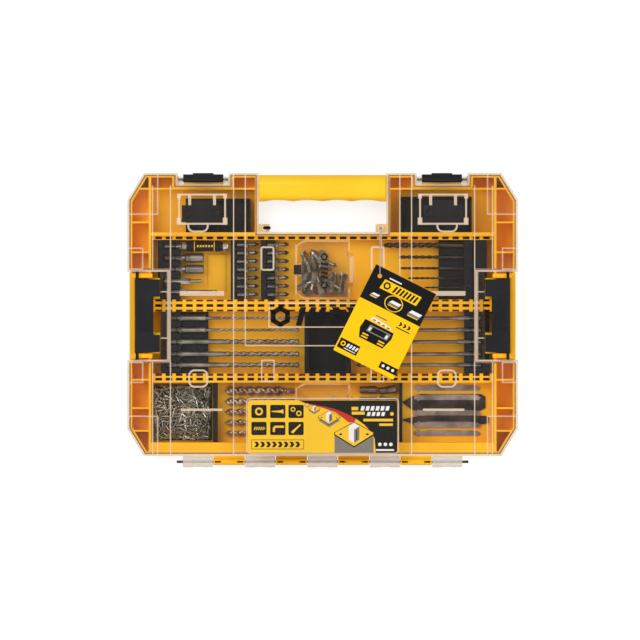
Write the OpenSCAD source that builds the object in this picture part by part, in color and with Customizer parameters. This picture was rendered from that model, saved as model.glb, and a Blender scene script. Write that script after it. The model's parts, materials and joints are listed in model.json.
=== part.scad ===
// Drill bit case: a shallow carry case with a tray, a hinged clear lid, latches, racks and bits.
// It lies on its back. +Z is up through the lid, +Y points to the grip, and the hinge runs along X.
// The origin is on the ground at the middle of the case's outline.

/* [Case] */
// Width of the lid, side to side
case_w = 440; // [432:1:480]
// Height of the tray, from the ground to the parting line
tray_h = 34; // [31:0.5:44]
// Height of the lid above the parting line
lid_h = 32; // [29:0.5:44]
// Wall thickness of the tray
tray_wall = 2.6; // [2:0.1:3]
// Floor thickness of the tray
floor_t = 2.4; // [1.8:0.1:3.4]
// Wall thickness of the clear lid
lid_wall = 2.2; // [1.6:0.1:2.6]
// Thickness of the lid's top panel
lid_top_t = 2.4; // [1.8:0.1:3.2]
// How far the lid stands out past the tray
lid_overhang = 2; // [1:0.1:2.6]
// Length of each cut corner along the front and rear edges
corner_cut_x = 18.5; // [8:0.5:21]
// Length of each cut corner along the sides
corner_cut_y = 30.5; // [16:0.5:34]
// Gap between pieces that lie against each other
seat_gap = 0.3; // [0.2:0.05:0.4]

/* [Bays] */
// Depth of the zone between the lid's rear edge and the lower bay
rear_zone = 14.6; // [13:0.2:20]
// Depth of the lower bay
lower_bay = 67.6; // [67:0.2:76]
// Depth of the middle bay
middle_bay = 70.2; // [69:0.2:80]
// Depth of the upper bay
upper_bay = 67.6; // [67:0.2:76]
// Width of the rail between the lower and middle bays
lower_rail_w = 10.4; // [9:0.2:14]
// Width of the rail between the middle and upper bays
middle_rail_w = 13.6; // [12:0.2:17]
// Width of the rail at the top of the upper bay
upper_rail_w = 4.4; // [4.2:0.2:7]
// Height of the rails above the tray's floor
rail_h = 22; // [16:0.5:26]
// Thickness of the wall between the upper bay and the grip opening
top_wall = 4; // [3.6:0.1:6]
// Width of the pockets along each side, with both of their walls
side_zone = 26.2; // [25.6:0.2:28]
// Thickness of the wall between the bays and the side pockets
side_wall_t = 3; // [2:0.1:3.4]
// Pitch of the slots along the rails
slot_pitch = 11.6; // [10:0.1:15]
// Length of a rail slot
slot_l = 7.5; // [5:0.1:8]
// Width of a rail slot
slot_w = 3; // [2:0.1:3.2]
// Depth of a rail slot
slot_depth = 14; // [4:0.5:16]

/* [Grip] */
// Width of the grip opening
gap_w = 144; // [130:1:150]
// Depth of the grip opening
gap_l = 35; // [30:0.5:42]
// Size of the grip across the bar
grip_l = 30; // [26:0.5:34]
// Height of the grip bar
grip_h = 34; // [26:0.5:36]
// Height of the grip bar's underside above the ground
grip_z = 9; // [6:0.5:14]
// Corner radius of the grip bar
grip_r = 11; // [6:0.5:12]
// How far the grip stands back from the lid's front edge
grip_back = 1.7; // [0.5:0.1:3]
// Pitch of the finger scallops
scallop_pitch = 33.2; // [24:0.2:34]
// Depth of the finger scallops
scallop_depth = 1.8; // [0.8:0.1:2.4]
// Width of the lock ears at the opening's corners
ear_w = 12; // [10.5:0.5:14]
// Length of the lock ears
ear_l = 9.4; // [8.6:0.2:12]
// Thickness of the lock ears
ear_t = 3; // [2:0.1:4]

/* [Hinge] */
// Number of lid knuckles
knuckles = 5; // [3:1:5]
// Pitch of the lid knuckles
knuckle_pitch = 70.5; // [64:0.5:74]
// Width of a lid knuckle
knuckle_w = 34; // [26:0.5:38]
// Radius of a lid knuckle
knuckle_r = 6.3; // [5:0.1:6.6]
// Distance from the lid's rear edge to the hinge axis
hinge_out = 7.2; // [6.6:0.1:9]
// Radius of the tray's hinge barrels
barrel_r = 3.8; // [3:0.1:4.4]
// Radius of the hinge pins
pin_r = 1.5; // [1.1:0.05:1.9]
// Radial clearance round every pin
pin_play = 0.06; // [0.02:0.01:0.1]
// How far a hinge pin reaches into the barrel at each end
pin_reach = 7; // [4:0.5:9]

/* [Front latches] */
// Distance of a front latch from the middle of the case
latch_x = 134.8; // [126:0.2:138]
// Width of a front latch
latch_w = 45; // [38:0.5:48]
// Width of the recess in the lid for a front latch
recess_w = 57.4; // [55:0.2:60]
// Depth of that recess
recess_l = 12.3; // [11.6:0.1:14]
// Distance from the lid's front edge to the latch axis
latch_axis_in = 7.6; // [7.4:0.1:8]
// Distance from the lid's top to the latch axis
latch_axis_down = 6; // [5:0.1:8]
// Radius of the latch's barrel
latch_barrel_r = 3.1; // [2.6:0.1:3.4]
// Height of the latch's lower end above the ground
latch_foot_z = 17; // [10:0.5:20]
// Thickness of the latch's flap
flap_t = 3.6; // [2.6:0.1:4]
// Width of the raised middle of the latch
flap_mid_w = 23; // [16:0.5:30]
// Height of the tray's catch ledge above the ground
catch_z = 24; // [22:0.5:27]

/* [Side latches] */
// Place of the side latches along Y
side_y = 5.2; // [0:0.2:8]
// Length of the notch in the lid for a side latch
notch_l = 99.2; // [96:0.2:106]
// Width of that notch
notch_w = 44.6; // [44:0.2:46]
// Height of the notch's floor above the parting line
notch_floor = 12; // [9:0.5:14]
// Length of a side latch
side_latch_l = 82; // [70:0.5:83]
// Distance from the lid's side to the side latch's axis
side_axis_in = 11; // [10.6:0.1:11.6]
// Distance from the lid's top to the side latch's axis
side_axis_down = 7; // [5:0.2:9]
// Width of a side latch from its axis to the ends of its hooks
side_latch_w = 25.3; // [24:0.1:26]
// Radius of the side latch's pivots
side_pivot_r = 2; // [1.5:0.1:2.2]
// Height of the raised outer wall beside a side latch, above the parting line
side_guard_h = 16; // [8:0.5:17]

/* [Lid pattern] */
// Height of the pads on the lid
pad_h = 1; // [0.6:0.1:1.2]
// Height of the thin ribs and frames on the lid
rib_h = 0.8; // [0.4:0.1:0.8]
// Width of the thin ribs
rib_w = 1.3; // [0.8:0.1:2]
// Width of the thick frames
frame_w = 2.1; // [1.4:0.1:3]
// Width of the stacking window
window_w = 54; // [50:0.5:56]
// Length of the stacking window
window_l = 35; // [32:0.5:37]

/* [Racks and contents] */
// Height of the racks
rack_h = 19; // [17:0.5:24]
// Height of the bits' and drills' axes above the racks' undersides
axis_h = 14.6; // [13:0.2:15]
// Size across the flats of the hexagon shanks
hex_af = 6.35; // [5:0.05:6.5]
// Length of a short bit
bit_len = 25; // [22:0.5:27]
// Pitch of the short bits in their racks
bit_pitch = 9.43; // [9:0.01:9.6]
// Number of short bits in a rack
rack_bits = 7; // [3:1:7]
// Clearance between the middle bay's bits and the bin between them
tip_gap = 5.4; // [2:0.2:12]
// Radius of a masonry drill
masonry_r = 2.9; // [2.4:0.1:3.4]
// Place of the right bit rack, left of the small box
bit_rack_off = 38.8; // [37:0.2:40]
// Distance between the two bit racks
bit_rack_step = 34.2; // [33:0.2:36]
// Length of a jigsaw blade
jigsaw_len = 76; // [70:1:80]
// Width of a small parts box
box_w = 62; // [56:0.5:63]
// Height of a small parts box, without its lid
box_h = 22; // [18:0.5:24]
// Wall thickness of a small parts box
box_wall = 1.5; // [1:0.1:2]
// Length of a loose screw
screw_len = 11.5; // [9:0.5:12]
// Width of the middle bin
bin_w = 52.7; // [46:0.5:54]

/* [Cards] */
// Width of the label card inside the lid
label_w = 169; // [150:1:172]
// Length of the label card
label_l = 60; // [50:1:61]
// Width of the swing tag
tag_w = 75.5; // [60:0.5:80]
// Length of the swing tag
tag_l = 108; // [90:1:110]
// Thickness of the cards
card_t = 0.6; // [0.4:0.1:0.8]
// Angle of the swing tag on the lid, in degrees
tag_turn = -26.6; // [-28:0.2:-24]

/* [Hidden] */
$fn = 40;

// Overshoot of a cut past the face that it opens
over = 1;
half_w = case_w / 2;
handle_zone = gap_l + grip_l + grip_back;
body_l = rear_zone + lower_bay + lower_rail_w + middle_bay + middle_rail_w + upper_bay
    + upper_rail_w + top_wall + handle_zone;
total_l = body_l + hinge_out + knuckle_r;

// Places along Y, from the hinge to the grip
y_hinge = -total_l / 2 + knuckle_r;
y_rear = y_hinge + hinge_out;
y_lower = y_rear + rear_zone;
y_lower_rail = y_lower + lower_bay;
y_middle = y_lower_rail + lower_rail_w;
y_middle_rail = y_middle + middle_bay;
y_upper = y_middle_rail + middle_rail_w;
y_upper_rail = y_upper + upper_bay;
y_top_wall = y_upper_rail + upper_rail_w;
y_gap = y_top_wall + top_wall;
y_grip = y_gap + gap_l;
y_front = total_l / 2;
y_recess = y_front - recess_l;
y_latch = y_front - latch_axis_in;

// Heights
lid_z0 = tray_h + seat_gap;
lid_z1 = tray_h + lid_h;
lid_under = lid_z1 - lid_top_t;
z_latch = lid_z1 - latch_axis_down;
z_side = lid_z1 - side_axis_down;
z_notch = tray_h + notch_floor;
deck = floor_t + seat_gap;
axis_z = deck + axis_h;

// Places along X
half_in = half_w - side_zone;
pocket_in = half_in + side_wall_t;
pocket_out = half_w - lid_overhang - tray_wall;
gap_half = gap_w / 2;
x_side = half_w - side_axis_in;
x_notch = half_w - notch_w;
x_notch_out = x_notch + 7.8;
notch_y0 = side_y - notch_l / 2;
notch_y1 = side_y + notch_l / 2;
cut_len = norm([corner_cut_x, corner_cut_y]);
hex_r = hex_af / 2 / cos(30);
shank_groove_r = hex_r + 0.25;

// Ribs across the side pockets, as distances from the lid's front and rear edges
front_ribs = [17.3, 55.4, 89.3];
rear_ribs = [27.8, 53.5, 85.6];
pocket_rib_t = 2;
front_rib_y = y_front - front_ribs[0];

// Cheeks that carry the side latches
cheek_t = 5;
cheek_y = side_latch_l / 2 + 1.6;
cheek_in = 17;
cheek_ring_r = 3.5;
// The outer wall beside a latch; the lid's front notch wall swings past its front end
guard_y = [notch_y0 + 0.6, notch_y1 - 1.6];
pivot_l = 8;
tip_l = 3.6;

// Small parts box
box_l = upper_bay - 2 * seat_gap;
box_hinge_r = 1.9;
box_pin_r = 1;
box_lid_t = 1.6;
box_corner = [10, 5.6];

// Swing tag
tag_at = [69.9, -1.8];
tag_hole_at = [-28, 43.9];
tag_hole_r = 2.6;
tag_z = lid_z1 + 1.6;

// The tag's string: out of the ear, over the lid's edge, through the tag and back. Each point is
// [x, distance in front of the wall at the grip opening, height above the lid's top].
string_r = 0.4;
string_route = [
    [64.9, 4.6, -31.9], [64.9, 4.6, -28], [64.9, 4.2, -22], [64.8, 3, -14], [64.8, 1.9, -7],
    [64.8, 1.2, -2], [64.8, 0.4, 0.6], [64.8, -1.6, 1.6], [64.8, -6, 1.7], [64.8, -14, 1.6],
    [64.8, -24, 1.8], [64.8, -32, 2.2], [64.7, -38, 3], [64.7, -43, 3.8], [64.7, -47, 4.1],
    [64.8, -49.6, 3.8], [65, -50.9, 2.6], [65.4, -49.8, 1.2], [65.7, -47, 1.02], [66, -42, 1.02],
    [66.1, -36, 1.1], [66.2, -28, 1.3], [66.3, -18, 1.4], [66.4, -8, 1.6], [66.5, -1.8, 1.5],
    [66.5, 0.4, 0.4], [66.5, 1.2, -2.2], [66.5, 1.9, -7], [66.5, 3, -14], [66.5, 4.2, -22],
    [66.5, 4.6, -28], [66.5, 4.6, -31.9]
];
string_steps = 2;

// ---------------------------------------------------------------- shared shapes

// A box between two limits on each axis
module block(x, y, z) {
    translate([x[0], y[0], z[0]])
        cube([x[1] - x[0], y[1] - y[0], z[1] - z[0]]);
}

// A rod along X
module rod_x(x, y, z, r, sides = 40) {
    translate([x[0], y, z])
        rotate([0, 90, 0])
            cylinder(h = x[1] - x[0], r = r, $fn = sides);
}

// A tapered rod along X
module cone_x(x, y, z, r0, r1) {
    translate([x[0], y, z])
        rotate([0, 90, 0])
            cylinder(h = x[1] - x[0], r1 = r0, r2 = r1);
}

// A rod along Y
module rod_y(x, y, z, r) {
    translate([x, y[1], z])
        rotate([90, 0, 0])
            cylinder(h = y[1] - y[0], r = r);
}

// A hexagon rod along X, with a flat face down
module hex_x(x, y, z) {
    translate([x[0], y, z])
        rotate([30, 0, 0])
            rotate([0, 90, 0])
                cylinder(h = x[1] - x[0], r = hex_r, $fn = 6);
}

// The children, and their mirror image across the middle of the case
module both_sides() {
    children();
    mirror([1, 0, 0])
        children();
}

// Points of a rectangle with round corners, about the origin
function round_rect(w, l, r, n = 5) = [
    for (c = [0:3], i = [0:n])
        let (
            a = 90 * c + 90 * i / n,
            sx = (c == 0 || c == 3) ? 1 : -1,
            sy = c < 2 ? 1 : -1
        )
        [sx * (w / 2 - r) + r * cos(a), sy * (l / 2 - r) + r * sin(a)]
];

// A plate with round corners
module round_plate(at, w, l, r, z) {
    translate([at[0], at[1], z[0]])
        linear_extrude(z[1] - z[0])
            polygon(round_rect(w, l, r));
}

// A flat frame with round corners
module round_frame(at, w, l, r, t, z) {
    difference() {
        round_plate(at, w, l, r, z);
        round_plate(at, w - 2 * t, l - 2 * t, max(r - t, 0.3), [z[0] - over, z[1] + over]);
    }
}

// ---------------------------------------------------------------- outline of the case

// Right half of the outline in plan, moved inwards by e
function half_outline(e) = let (
    side = e * (cut_len - corner_cut_y) / corner_cut_x,
    end = e * (cut_len - corner_cut_x) / corner_cut_y
) [
    [half_w - corner_cut_x - end, y_rear + e],
    [half_w - e, y_rear + corner_cut_y + side],
    [half_w - e, y_front - corner_cut_y - side],
    [half_w - corner_cut_x - end, y_front - e],
    [latch_x + recess_w / 2 + e, y_front - e],
    [latch_x + recess_w / 2 + e, y_recess - e],
    [latch_x - recess_w / 2 - e, y_recess - e],
    [latch_x - recess_w / 2 - e, y_front - e],
    [gap_half + e, y_front - e],
    [gap_half + e, y_gap - e]
];

// The whole outline, moved inwards by e
function outline(e) = let (half = half_outline(e), n = len(half))
    concat(half, [for (i = [n - 1:-1:0]) [-half[i][0], half[i][1]]]);

// The outline as a slab between two heights
module slab(e, z) {
    translate([0, 0, z[0]])
        linear_extrude(z[1] - z[0])
            polygon(outline(e));
}

// ---------------------------------------------------------------- tray

// Cross walls of one side's pockets
module pocket_ribs() {
    x = [pocket_in - over, half_w];
    z = [0, tray_h + over];
    for (d = front_ribs)
        block(x, [y_front - d - pocket_rib_t / 2, y_front - d + pocket_rib_t / 2], z);
    for (d = rear_ribs)
        block(x, [y_rear + d - pocket_rib_t / 2, y_rear + d + pocket_rib_t / 2], z);
    for (s = [-1, 1])
        block(x, [side_y + s * cheek_y + min(0, s) * cheek_t, side_y + s * cheek_y + max(0, s) * cheek_t], z);
    // The latch well keeps a thick outer wall
    block([x_side + 3, half_w], guard_y, z);
}

// Hollows of one side: the pockets, the compartment beside the grip and the small front pockets
module side_hollows() {
    z = [floor_t, tray_h + over];
    x_grip_wall = gap_half + lid_overhang + tray_wall;
    x_recess = [latch_x - recess_w / 2 - lid_overhang, latch_x + recess_w / 2 + lid_overhang];
    difference() {
        slab(lid_overhang + tray_wall, z);
        block([-half_w, pocket_in], [y_rear, y_front], [0, tray_h + 2 * over]);
        pocket_ribs();
    }
    block([x_grip_wall, half_in], [y_gap, front_rib_y - pocket_rib_t / 2], z);
    for (x = [[x_grip_wall, x_recess[0] - tray_wall - 1], [x_recess[1] + tray_wall + 1, half_in]])
        block(x, [front_rib_y + pocket_rib_t / 2, y_front - lid_overhang - tray_wall], z);
}

// Raised walls, shelves and cheeks that carry one side latch
module latch_tower() {
    block([half_in, pocket_in], [side_y - cheek_y, side_y + cheek_y], [floor_t, z_notch]);
    block([x_side + 3, half_w - lid_overhang], guard_y, [floor_t, tray_h + side_guard_h]);
    for (s = [-1, 1]) {
        y0 = side_y + s * cheek_y;
        y = s > 0 ? [y0, y0 + cheek_t] : [y0 - cheek_t, y0];
        // Shelf under a hook; between the hooks the bay shows
        block([x_notch_out + 2 * seat_gap, pocket_in], s > 0 ? [side_y + 19, y0] : [y0, side_y - 19],
            [z_notch - 3, z_notch]);
        block([x_side - cheek_in, x_side + 3 + over], y, [floor_t, z_side - 0.4]);
        rod_y(x_side, y, z_side, cheek_ring_r);
    }
}

// Bore of the side latch's pivots, open upwards so that the latch snaps in
module pivot_bore() {
    snap = 0.88 * side_pivot_r;
    rod_y(x_side, [side_y - notch_l, side_y + notch_l], z_side, side_pivot_r + pin_play);
    block([x_side - snap, x_side + snap], [side_y - notch_l, side_y + notch_l],
        [z_side, z_side + cheek_ring_r + over]);
}

// Ledge on the recessed front wall that a front latch closes over
module catch_ledge() {
    y_wall = y_recess - lid_overhang;
    y_out = y_latch + latch_barrel_r - 0.7 - 2 * seat_gap;
    block([latch_x - latch_w / 2, latch_x + latch_w / 2], [y_wall - over, y_out], [catch_z, catch_z + 4]);
}

module base_tray() {
    floor_pad = [20.2, 41.7];
    color([0.93, 0.66, 0.12]) {
        difference() {
            union() {
                slab(lid_overhang, [0, tray_h]);
                both_sides() {
                    latch_tower();
                    catch_ledge();
                    // Lower lock ear
                    block([gap_half - ear_w, gap_half + lid_overhang + over],
                        [y_gap - lid_overhang - over, y_gap + ear_l], [tray_h - ear_t, tray_h]);
                }
            }
            block([-half_in, half_in], [y_lower, y_top_wall], [floor_t, tray_h + over]);
            both_sides() {
                side_hollows();
                pivot_bore();
                // The lock hole is wide enough for the string's knot
                translate([gap_half - 6.3, y_gap + 4.6, tray_h - ear_t - over])
                    cylinder(h = ear_t + 2 * over, r = 3);
            }
        }
        // Raised pad under the nut drivers
        translate([-half_in + 63.8, y_upper + 9.5, floor_t - 0.5])
            cube([floor_pad[0], floor_pad[1], 2]);
    }
}

module carry_grip() {
    x_end = gap_half + lid_overhang;
    x_over = gap_half - 0.8;
    scallop_r = (pow(scallop_pitch / 2, 2) + pow(scallop_depth, 2)) / (2 * scallop_depth);
    color([0.98, 0.78, 0.1])
        difference() {
            translate([-x_end, y_grip + grip_l / 2, grip_z + grip_h / 2])
                rotate([90, 0, 90])
                    linear_extrude(2 * x_end)
                        polygon(round_rect(grip_l, grip_h, grip_r, 8));
            for (i = [-2:1])
                translate([(i + 0.5) * scallop_pitch, y_grip + scallop_depth - scallop_r, 0])
                    cylinder(h = grip_z + grip_h + over, r = scallop_r, $fn = 120);
            both_sides()
                block([x_over, x_end + over], [y_gap, y_front], [tray_h - seat_gap, lid_z1]);
        }
}

// A rail of the bays, with slots along its middle and teeth of this depth along chosen edges
module slotted_rail(y, slot_y, teeth, tooth) {
    x_end = half_in - seat_gap;
    z = [deck - seat_gap, floor_t + rail_h];
    n = floor((2 * x_end - slot_l) / slot_pitch);
    color([0.95, 0.68, 0.14])
        difference() {
            block([-x_end, x_end], y, z);
            for (i = [0:n]) {
                x = (i - n / 2) * slot_pitch;
                block([x - slot_l / 2, x + slot_l / 2], [slot_y - slot_w / 2, slot_y + slot_w / 2],
                    [z[1] - slot_depth, z[1] + over]);
                for (t = teeth)
                    block([x - slot_l / 2, x + slot_l / 2], [t - tooth, t + tooth], [z[1] - 8, z[1] + over]);
            }
        }
}

module rail_upper() {
    slotted_rail([y_upper_rail, y_top_wall], y_upper_rail + upper_rail_w / 2, [], 0);
}

module rail_middle() {
    slotted_rail([y_middle_rail, y_upper], y_middle_rail + middle_rail_w / 2, [y_middle_rail, y_upper], 2.2);
}

module rail_lower() {
    slotted_rail([y_lower_rail, y_middle], y_lower_rail + 4, [y_middle], 2.8);
}

// ---------------------------------------------------------------- hinge

// Middle of the lid knuckle with this number
function knuckle_x(i) = (i - (knuckles - 1) / 2) * knuckle_pitch;

module hinge_strip() {
    barrel_l = knuckle_pitch - knuckle_w - 4 * seat_gap;
    y_wall = y_rear + lid_overhang;
    dash = [1.6, 8.6];
    color([0.95, 0.7, 0.12])
        for (i = [0:knuckles - 2]) {
            xm = knuckle_x(i) + knuckle_pitch / 2;
            x = [xm - barrel_l / 2, xm + barrel_l / 2];
            difference() {
                union() {
                    rod_x(x, y_hinge, tray_h, barrel_r);
                    block(x, [y_hinge, y_wall], [tray_h - 6.4, tray_h - 0.6]);
                }
                rod_x([x[0] - over, x[1] + over], y_hinge, tray_h, pin_r + pin_play);
                // Sight slots over the pin ends
                for (s = [[x[0] + dash[0], x[0] + dash[1]], [x[1] - dash[1], x[1] - dash[0]]])
                    block(s, [y_hinge - 1, y_hinge + 1], [tray_h, tray_h + barrel_r + over]);
            }
        }
}

module hinge_pins() {
    color([0.25, 0.25, 0.26])
        for (i = [0:knuckles - 1]) {
            half = knuckle_w / 2 + pin_reach;
            rod_x([knuckle_x(i) - half, knuckle_x(i) + half], y_hinge, tray_h, pin_r);
        }
}

// ---------------------------------------------------------------- lid

// Space that a side latch takes from one side of the lid, grown by t on the lid's side
module notch_space(t) {
    block([x_notch - t, half_w + over], [notch_y0 - t, notch_y1 + t], [z_notch - t, lid_z1 + 2]);
    block([x_notch_out - t, half_w + over], [notch_y0 - t, notch_y1 + t], [0, lid_z1 + 2]);
}

// Stops that stand on the notch's floor
module notch_stops() {
    for (y = [side_y + 27, side_y - 25.2])
        block([x_notch - over, x_notch_out - 0.3], [y - 0.8, y + 0.8], [z_notch - over, z_notch + 12]);
}

// Raised pads and frames on one side of the lid's top
module side_pattern() {
    z_pad = [lid_z1 - over, lid_z1 + pad_h];
    z_rib = [lid_z1 - over, lid_z1 + rib_h];
    pad_x = half_w - 35;
    window_y = y_front - 23.5 - window_l / 2;
    // Pads at the corners and beside the notch, cut to the outline
    intersection() {
        slab(0, z_pad);
        union() {
            block([pad_x, half_w], [y_front - 47.5, y_front], z_pad);
            block([pad_x, half_w], [y_rear, y_rear + 45.6], z_pad);
            block([half_w - 18.1, half_w], [notch_y1 + frame_w, notch_y1 + 27.4], z_pad);
            block([half_w - 18.1, half_w], [notch_y0 - 26.4, notch_y0 - frame_w], z_pad);
        }
    }
    // Rim round the notch
    block([x_notch - 4.5, x_notch], [notch_y0 - frame_w, notch_y1 + frame_w], z_pad);
    block([x_notch - over, half_w - 20], [notch_y1, notch_y1 + frame_w], z_pad);
    block([x_notch - over, half_w - 20], [notch_y0 - frame_w, notch_y0], z_pad);
    // Stacking window with its hooks, corner lugs and finger tab
    round_frame([latch_x + 1, window_y], window_w, window_l, 2, frame_w, z_pad);
    for (s = [-1, 1]) {
        x = latch_x + 1 + s * 14;
        block([x - 1.7, x + 1.7], [window_y + window_l / 2 - 13, window_y + window_l / 2 - 1], z_pad);
        lug_x = latch_x + 1 + s * (window_w / 2 - 1);
        block([lug_x - 2.6, lug_x + 2.6], [window_y - window_l / 2, window_y - window_l / 2 + 8], z_pad);
    }
    difference() {
        round_frame([latch_x + 1, window_y - window_l / 2], 24, 17.4, 7, frame_w, z_pad);
        block([latch_x - 20, latch_x + 20], [window_y - window_l / 2, y_front], [lid_z1, lid_z1 + 2]);
    }
    // Thin ribs along the lid
    for (x = [half_w - 28.5, half_w - 48.6])
        block([x - rib_w / 2, x + rib_w / 2], [notch_y1 + frame_w, y_front - recess_l - 2], z_rib);
    for (x = [half_w - 28.5, half_w - 48.6])
        block([x - rib_w / 2, x + rib_w / 2], [y_rear + 2, notch_y0 - frame_w], z_rib);
    block([half_w - 119.7 - rib_w / 2, half_w - 119.7 + rib_w / 2], [y_rear + 2, y_front - 2], z_rib);
    block([half_w - 132.9 - rib_w / 2, half_w - 132.9 + rib_w / 2], [y_middle + 32, y_front - 2], z_rib);
    // Frames and bars
    round_frame([62.1, y_upper + 46.1], 15.8, 27.6, 3, frame_w, [lid_z1 - over, lid_z1 + rib_h - 0.2]);
    round_frame([61.7, y_lower_rail + 13.8], 15.2, 25.1, 1, rib_w, z_rib);
    round_frame([140, y_lower_rail + 5], 22.7, 20.7, 7, frame_w, z_pad);
    block([111, 161], [y_upper + 4.1, y_upper + 9.4], z_pad);
    block([113, 159.7], [y_lower + 36.1, y_lower + 38.8], z_pad);
}

// Bosses that hold one latch pin, inside the recess
module latch_bosses() {
    boss_w = (recess_w - latch_w) / 2 - 2 * seat_gap;
    z = [z_latch - 4.4, z_latch + 3.6];
    for (s = [-1, 1]) {
        x_wall = latch_x + s * recess_w / 2;
        x = s > 0 ? [x_wall - boss_w, x_wall + over] : [x_wall - over, x_wall + boss_w];
        block(x, [y_recess - over, y_latch], z);
        rod_x(x, y_latch, z_latch, 3.4);
    }
}

module lid_shell() {
    label_y = [y_rear + lid_wall + seat_gap, y_rear + lid_wall + 2 * seat_gap + label_l];
    label_half = label_w / 2 + seat_gap;
    z_rib = [lid_z1 - over, lid_z1 + rib_h - 0.2];
    color([0.86, 0.84, 0.8, 0.35])
        difference() {
            union() {
                difference() {
                    union() {
                        slab(0, [lid_z0, lid_z1]);
                        both_sides()
                            side_pattern();
                        // Rib across the middle and panel frame
                        block([-87.1, 87.1], [y_middle + 31, y_middle + 32.3], z_rib);
                        round_frame([0, y_middle + 66], 122, 28, 1, rib_w, z_rib);
                        // Hinge knuckles and their webs
                        for (i = [0:knuckles - 1]) {
                            x = [knuckle_x(i) - knuckle_w / 2, knuckle_x(i) + knuckle_w / 2];
                            rod_x(x, y_hinge, tray_h, knuckle_r);
                            block(x, [y_hinge, y_rear + over], [lid_z0, lid_z0 + 6]);
                        }
                    }
                    // Inside of the lid
                    difference() {
                        slab(lid_wall, [lid_z0 - over, lid_under]);
                        both_sides()
                            notch_space(lid_wall);
                        // Rim that holds the label card
                        difference() {
                            block([-label_w / 2 - 2, label_w / 2 + 2], [y_rear, label_y[1] + 1.6],
                                [lid_under - 2, lid_z1]);
                            block([-label_half, label_half], [y_rear - over, label_y[1]],
                                [lid_under - 3, lid_z1]);
                        }
                    }
                }
                both_sides() {
                    latch_bosses();
                    // Upper lock ear
                    block([gap_half - ear_w, gap_half + 1], [y_gap - 1, y_gap + ear_l],
                        [lid_z0, lid_z0 + ear_t]);
                    notch_stops();
                }
            }
            both_sides() {
                notch_cut();
                rod_x([latch_x - recess_w / 2 - 4, latch_x + recess_w / 2 + 4], y_latch, z_latch,
                    pin_r + pin_play);
            }
            for (i = [0:knuckles - 1])
                rod_x([knuckle_x(i) - knuckle_w, knuckle_x(i) + knuckle_w], y_hinge, tray_h,
                    pin_r + pin_play);
            // Lock holes: round on the right, long on the left
            translate([gap_half - 6.3, y_gap + 4.6, lid_z0 - over])
                cylinder(h = ear_t + 2 * over, r = 2);
            round_plate([-gap_half + 9, y_gap + 5], 9.4, 4.2, 2.05, [lid_z0 - over, lid_z0 + ear_t + over]);
        }
}

// What a side latch takes from the lid: the notch, less its stops, and slots for the latch's tips
module notch_cut() {
    difference() {
        notch_space(0);
        notch_stops();
    }
    block([x_side - 3.2, x_side + 3.2], [notch_y0 - 5.6, notch_y1 + 5.6], [0, lid_z1 + 2]);
}

module latch_pins() {
    color([0.12, 0.12, 0.13])
        both_sides()
            rod_x([latch_x - recess_w / 2 + 0.3, latch_x + recess_w / 2 - 0.3], y_latch, z_latch, pin_r);
}

module label_card() {
    color([0.96, 0.77, 0.23])
        round_plate([0, y_rear + lid_wall + 2 * seat_gap + label_l / 2], label_w, label_l, 4,
            [lid_under - seat_gap - card_t, lid_under - seat_gap]);
}

// Black catch under the stacking window: a bar, a plate with a raised middle, and two hollow bosses
module stack_catch() {
    y = [y_front - 23.5 - window_l + 3, y_front - 30.6];
    z1 = lid_under - seat_gap;
    color([0.1, 0.1, 0.11])
        difference() {
            union() {
                block([latch_x - 24, latch_x + 25.6], [y[0], y[0] + 3.8], [z1 - 4, z1]);
                block([latch_x - 20.2, latch_x + 23.9], [y[0] + 3, y[1] - 5.8], [z1 - 3.6, z1 - 1.2]);
                block([latch_x - 9.9, latch_x + 12.1], [y[0] + 3, y[1]], [z1 - 8, z1 - 0.4]);
                for (x = [latch_x - 14.8, latch_x + 17.6])
                    translate([x, y[0] + 11.2, z1 - 11])
                        cylinder(h = 11, r = 4.8);
            }
            for (x = [latch_x - 14.8, latch_x + 17.6])
                translate([x, y[0] + 11.2, z1 - 1.6])
                    cylinder(h = 3, r = 3.4);
        }
}

module stack_catch_left() {
    mirror([1, 0, 0])
        stack_catch();
}

module stack_catch_right() {
    stack_catch();
}

module lock_hole_plug() {
    color([0.1, 0.1, 0.1])
        difference() {
            round_plate([-gap_half + 9, y_gap + 5], 9, 3.8, 1.85, [lid_z0 + 0.1, lid_z0 + ear_t + 0.8]);
            round_plate([-gap_half + 9, y_gap + 5], 6, 1.2, 0.55, [lid_z0 + ear_t, lid_z0 + ear_t + 2]);
        }
}

// ---------------------------------------------------------------- front latches

// A front latch at the middle of the case: its barrel, flap, raised middle, finger lip and toe
module front_latch() {
    w = latch_w / 2;
    y_in = y_latch + latch_barrel_r - 0.7;
    color([0.1, 0.1, 0.11])
        difference() {
            union() {
                rod_x([-w, w], y_latch, z_latch, latch_barrel_r);
                block([-w, w], [y_in, y_in + flap_t], [latch_foot_z, z_latch]);
                block([-flap_mid_w / 2, flap_mid_w / 2], [y_in + 1, y_front - 0.1],
                    [latch_foot_z + 6, z_latch - 2]);
                block([-w + 4, w - 4], [y_in - 0.3, y_in + 1], [latch_foot_z + 2, catch_z - 0.6]);
                block([-flap_mid_w / 2, flap_mid_w / 2], [y_in + 1, y_front - 0.1],
                    [latch_foot_z - 2.4, latch_foot_z + 1.2]);
            }
            rod_x([-w - over, w + over], y_latch, z_latch, pin_r + pin_play);
            // Windows beside the raised middle
            for (s = [-1, 1])
                block([s * 17 - 3, s * 17 + 3], [y_in - over, y_in + flap_t + over],
                    [catch_z + 7, z_latch - 8]);
        }
}

module front_latch_left() {
    translate([-latch_x, 0, 0])
        front_latch();
}

module front_latch_right() {
    translate([latch_x, 0, 0])
        front_latch();
}

// ---------------------------------------------------------------- side latches

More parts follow.
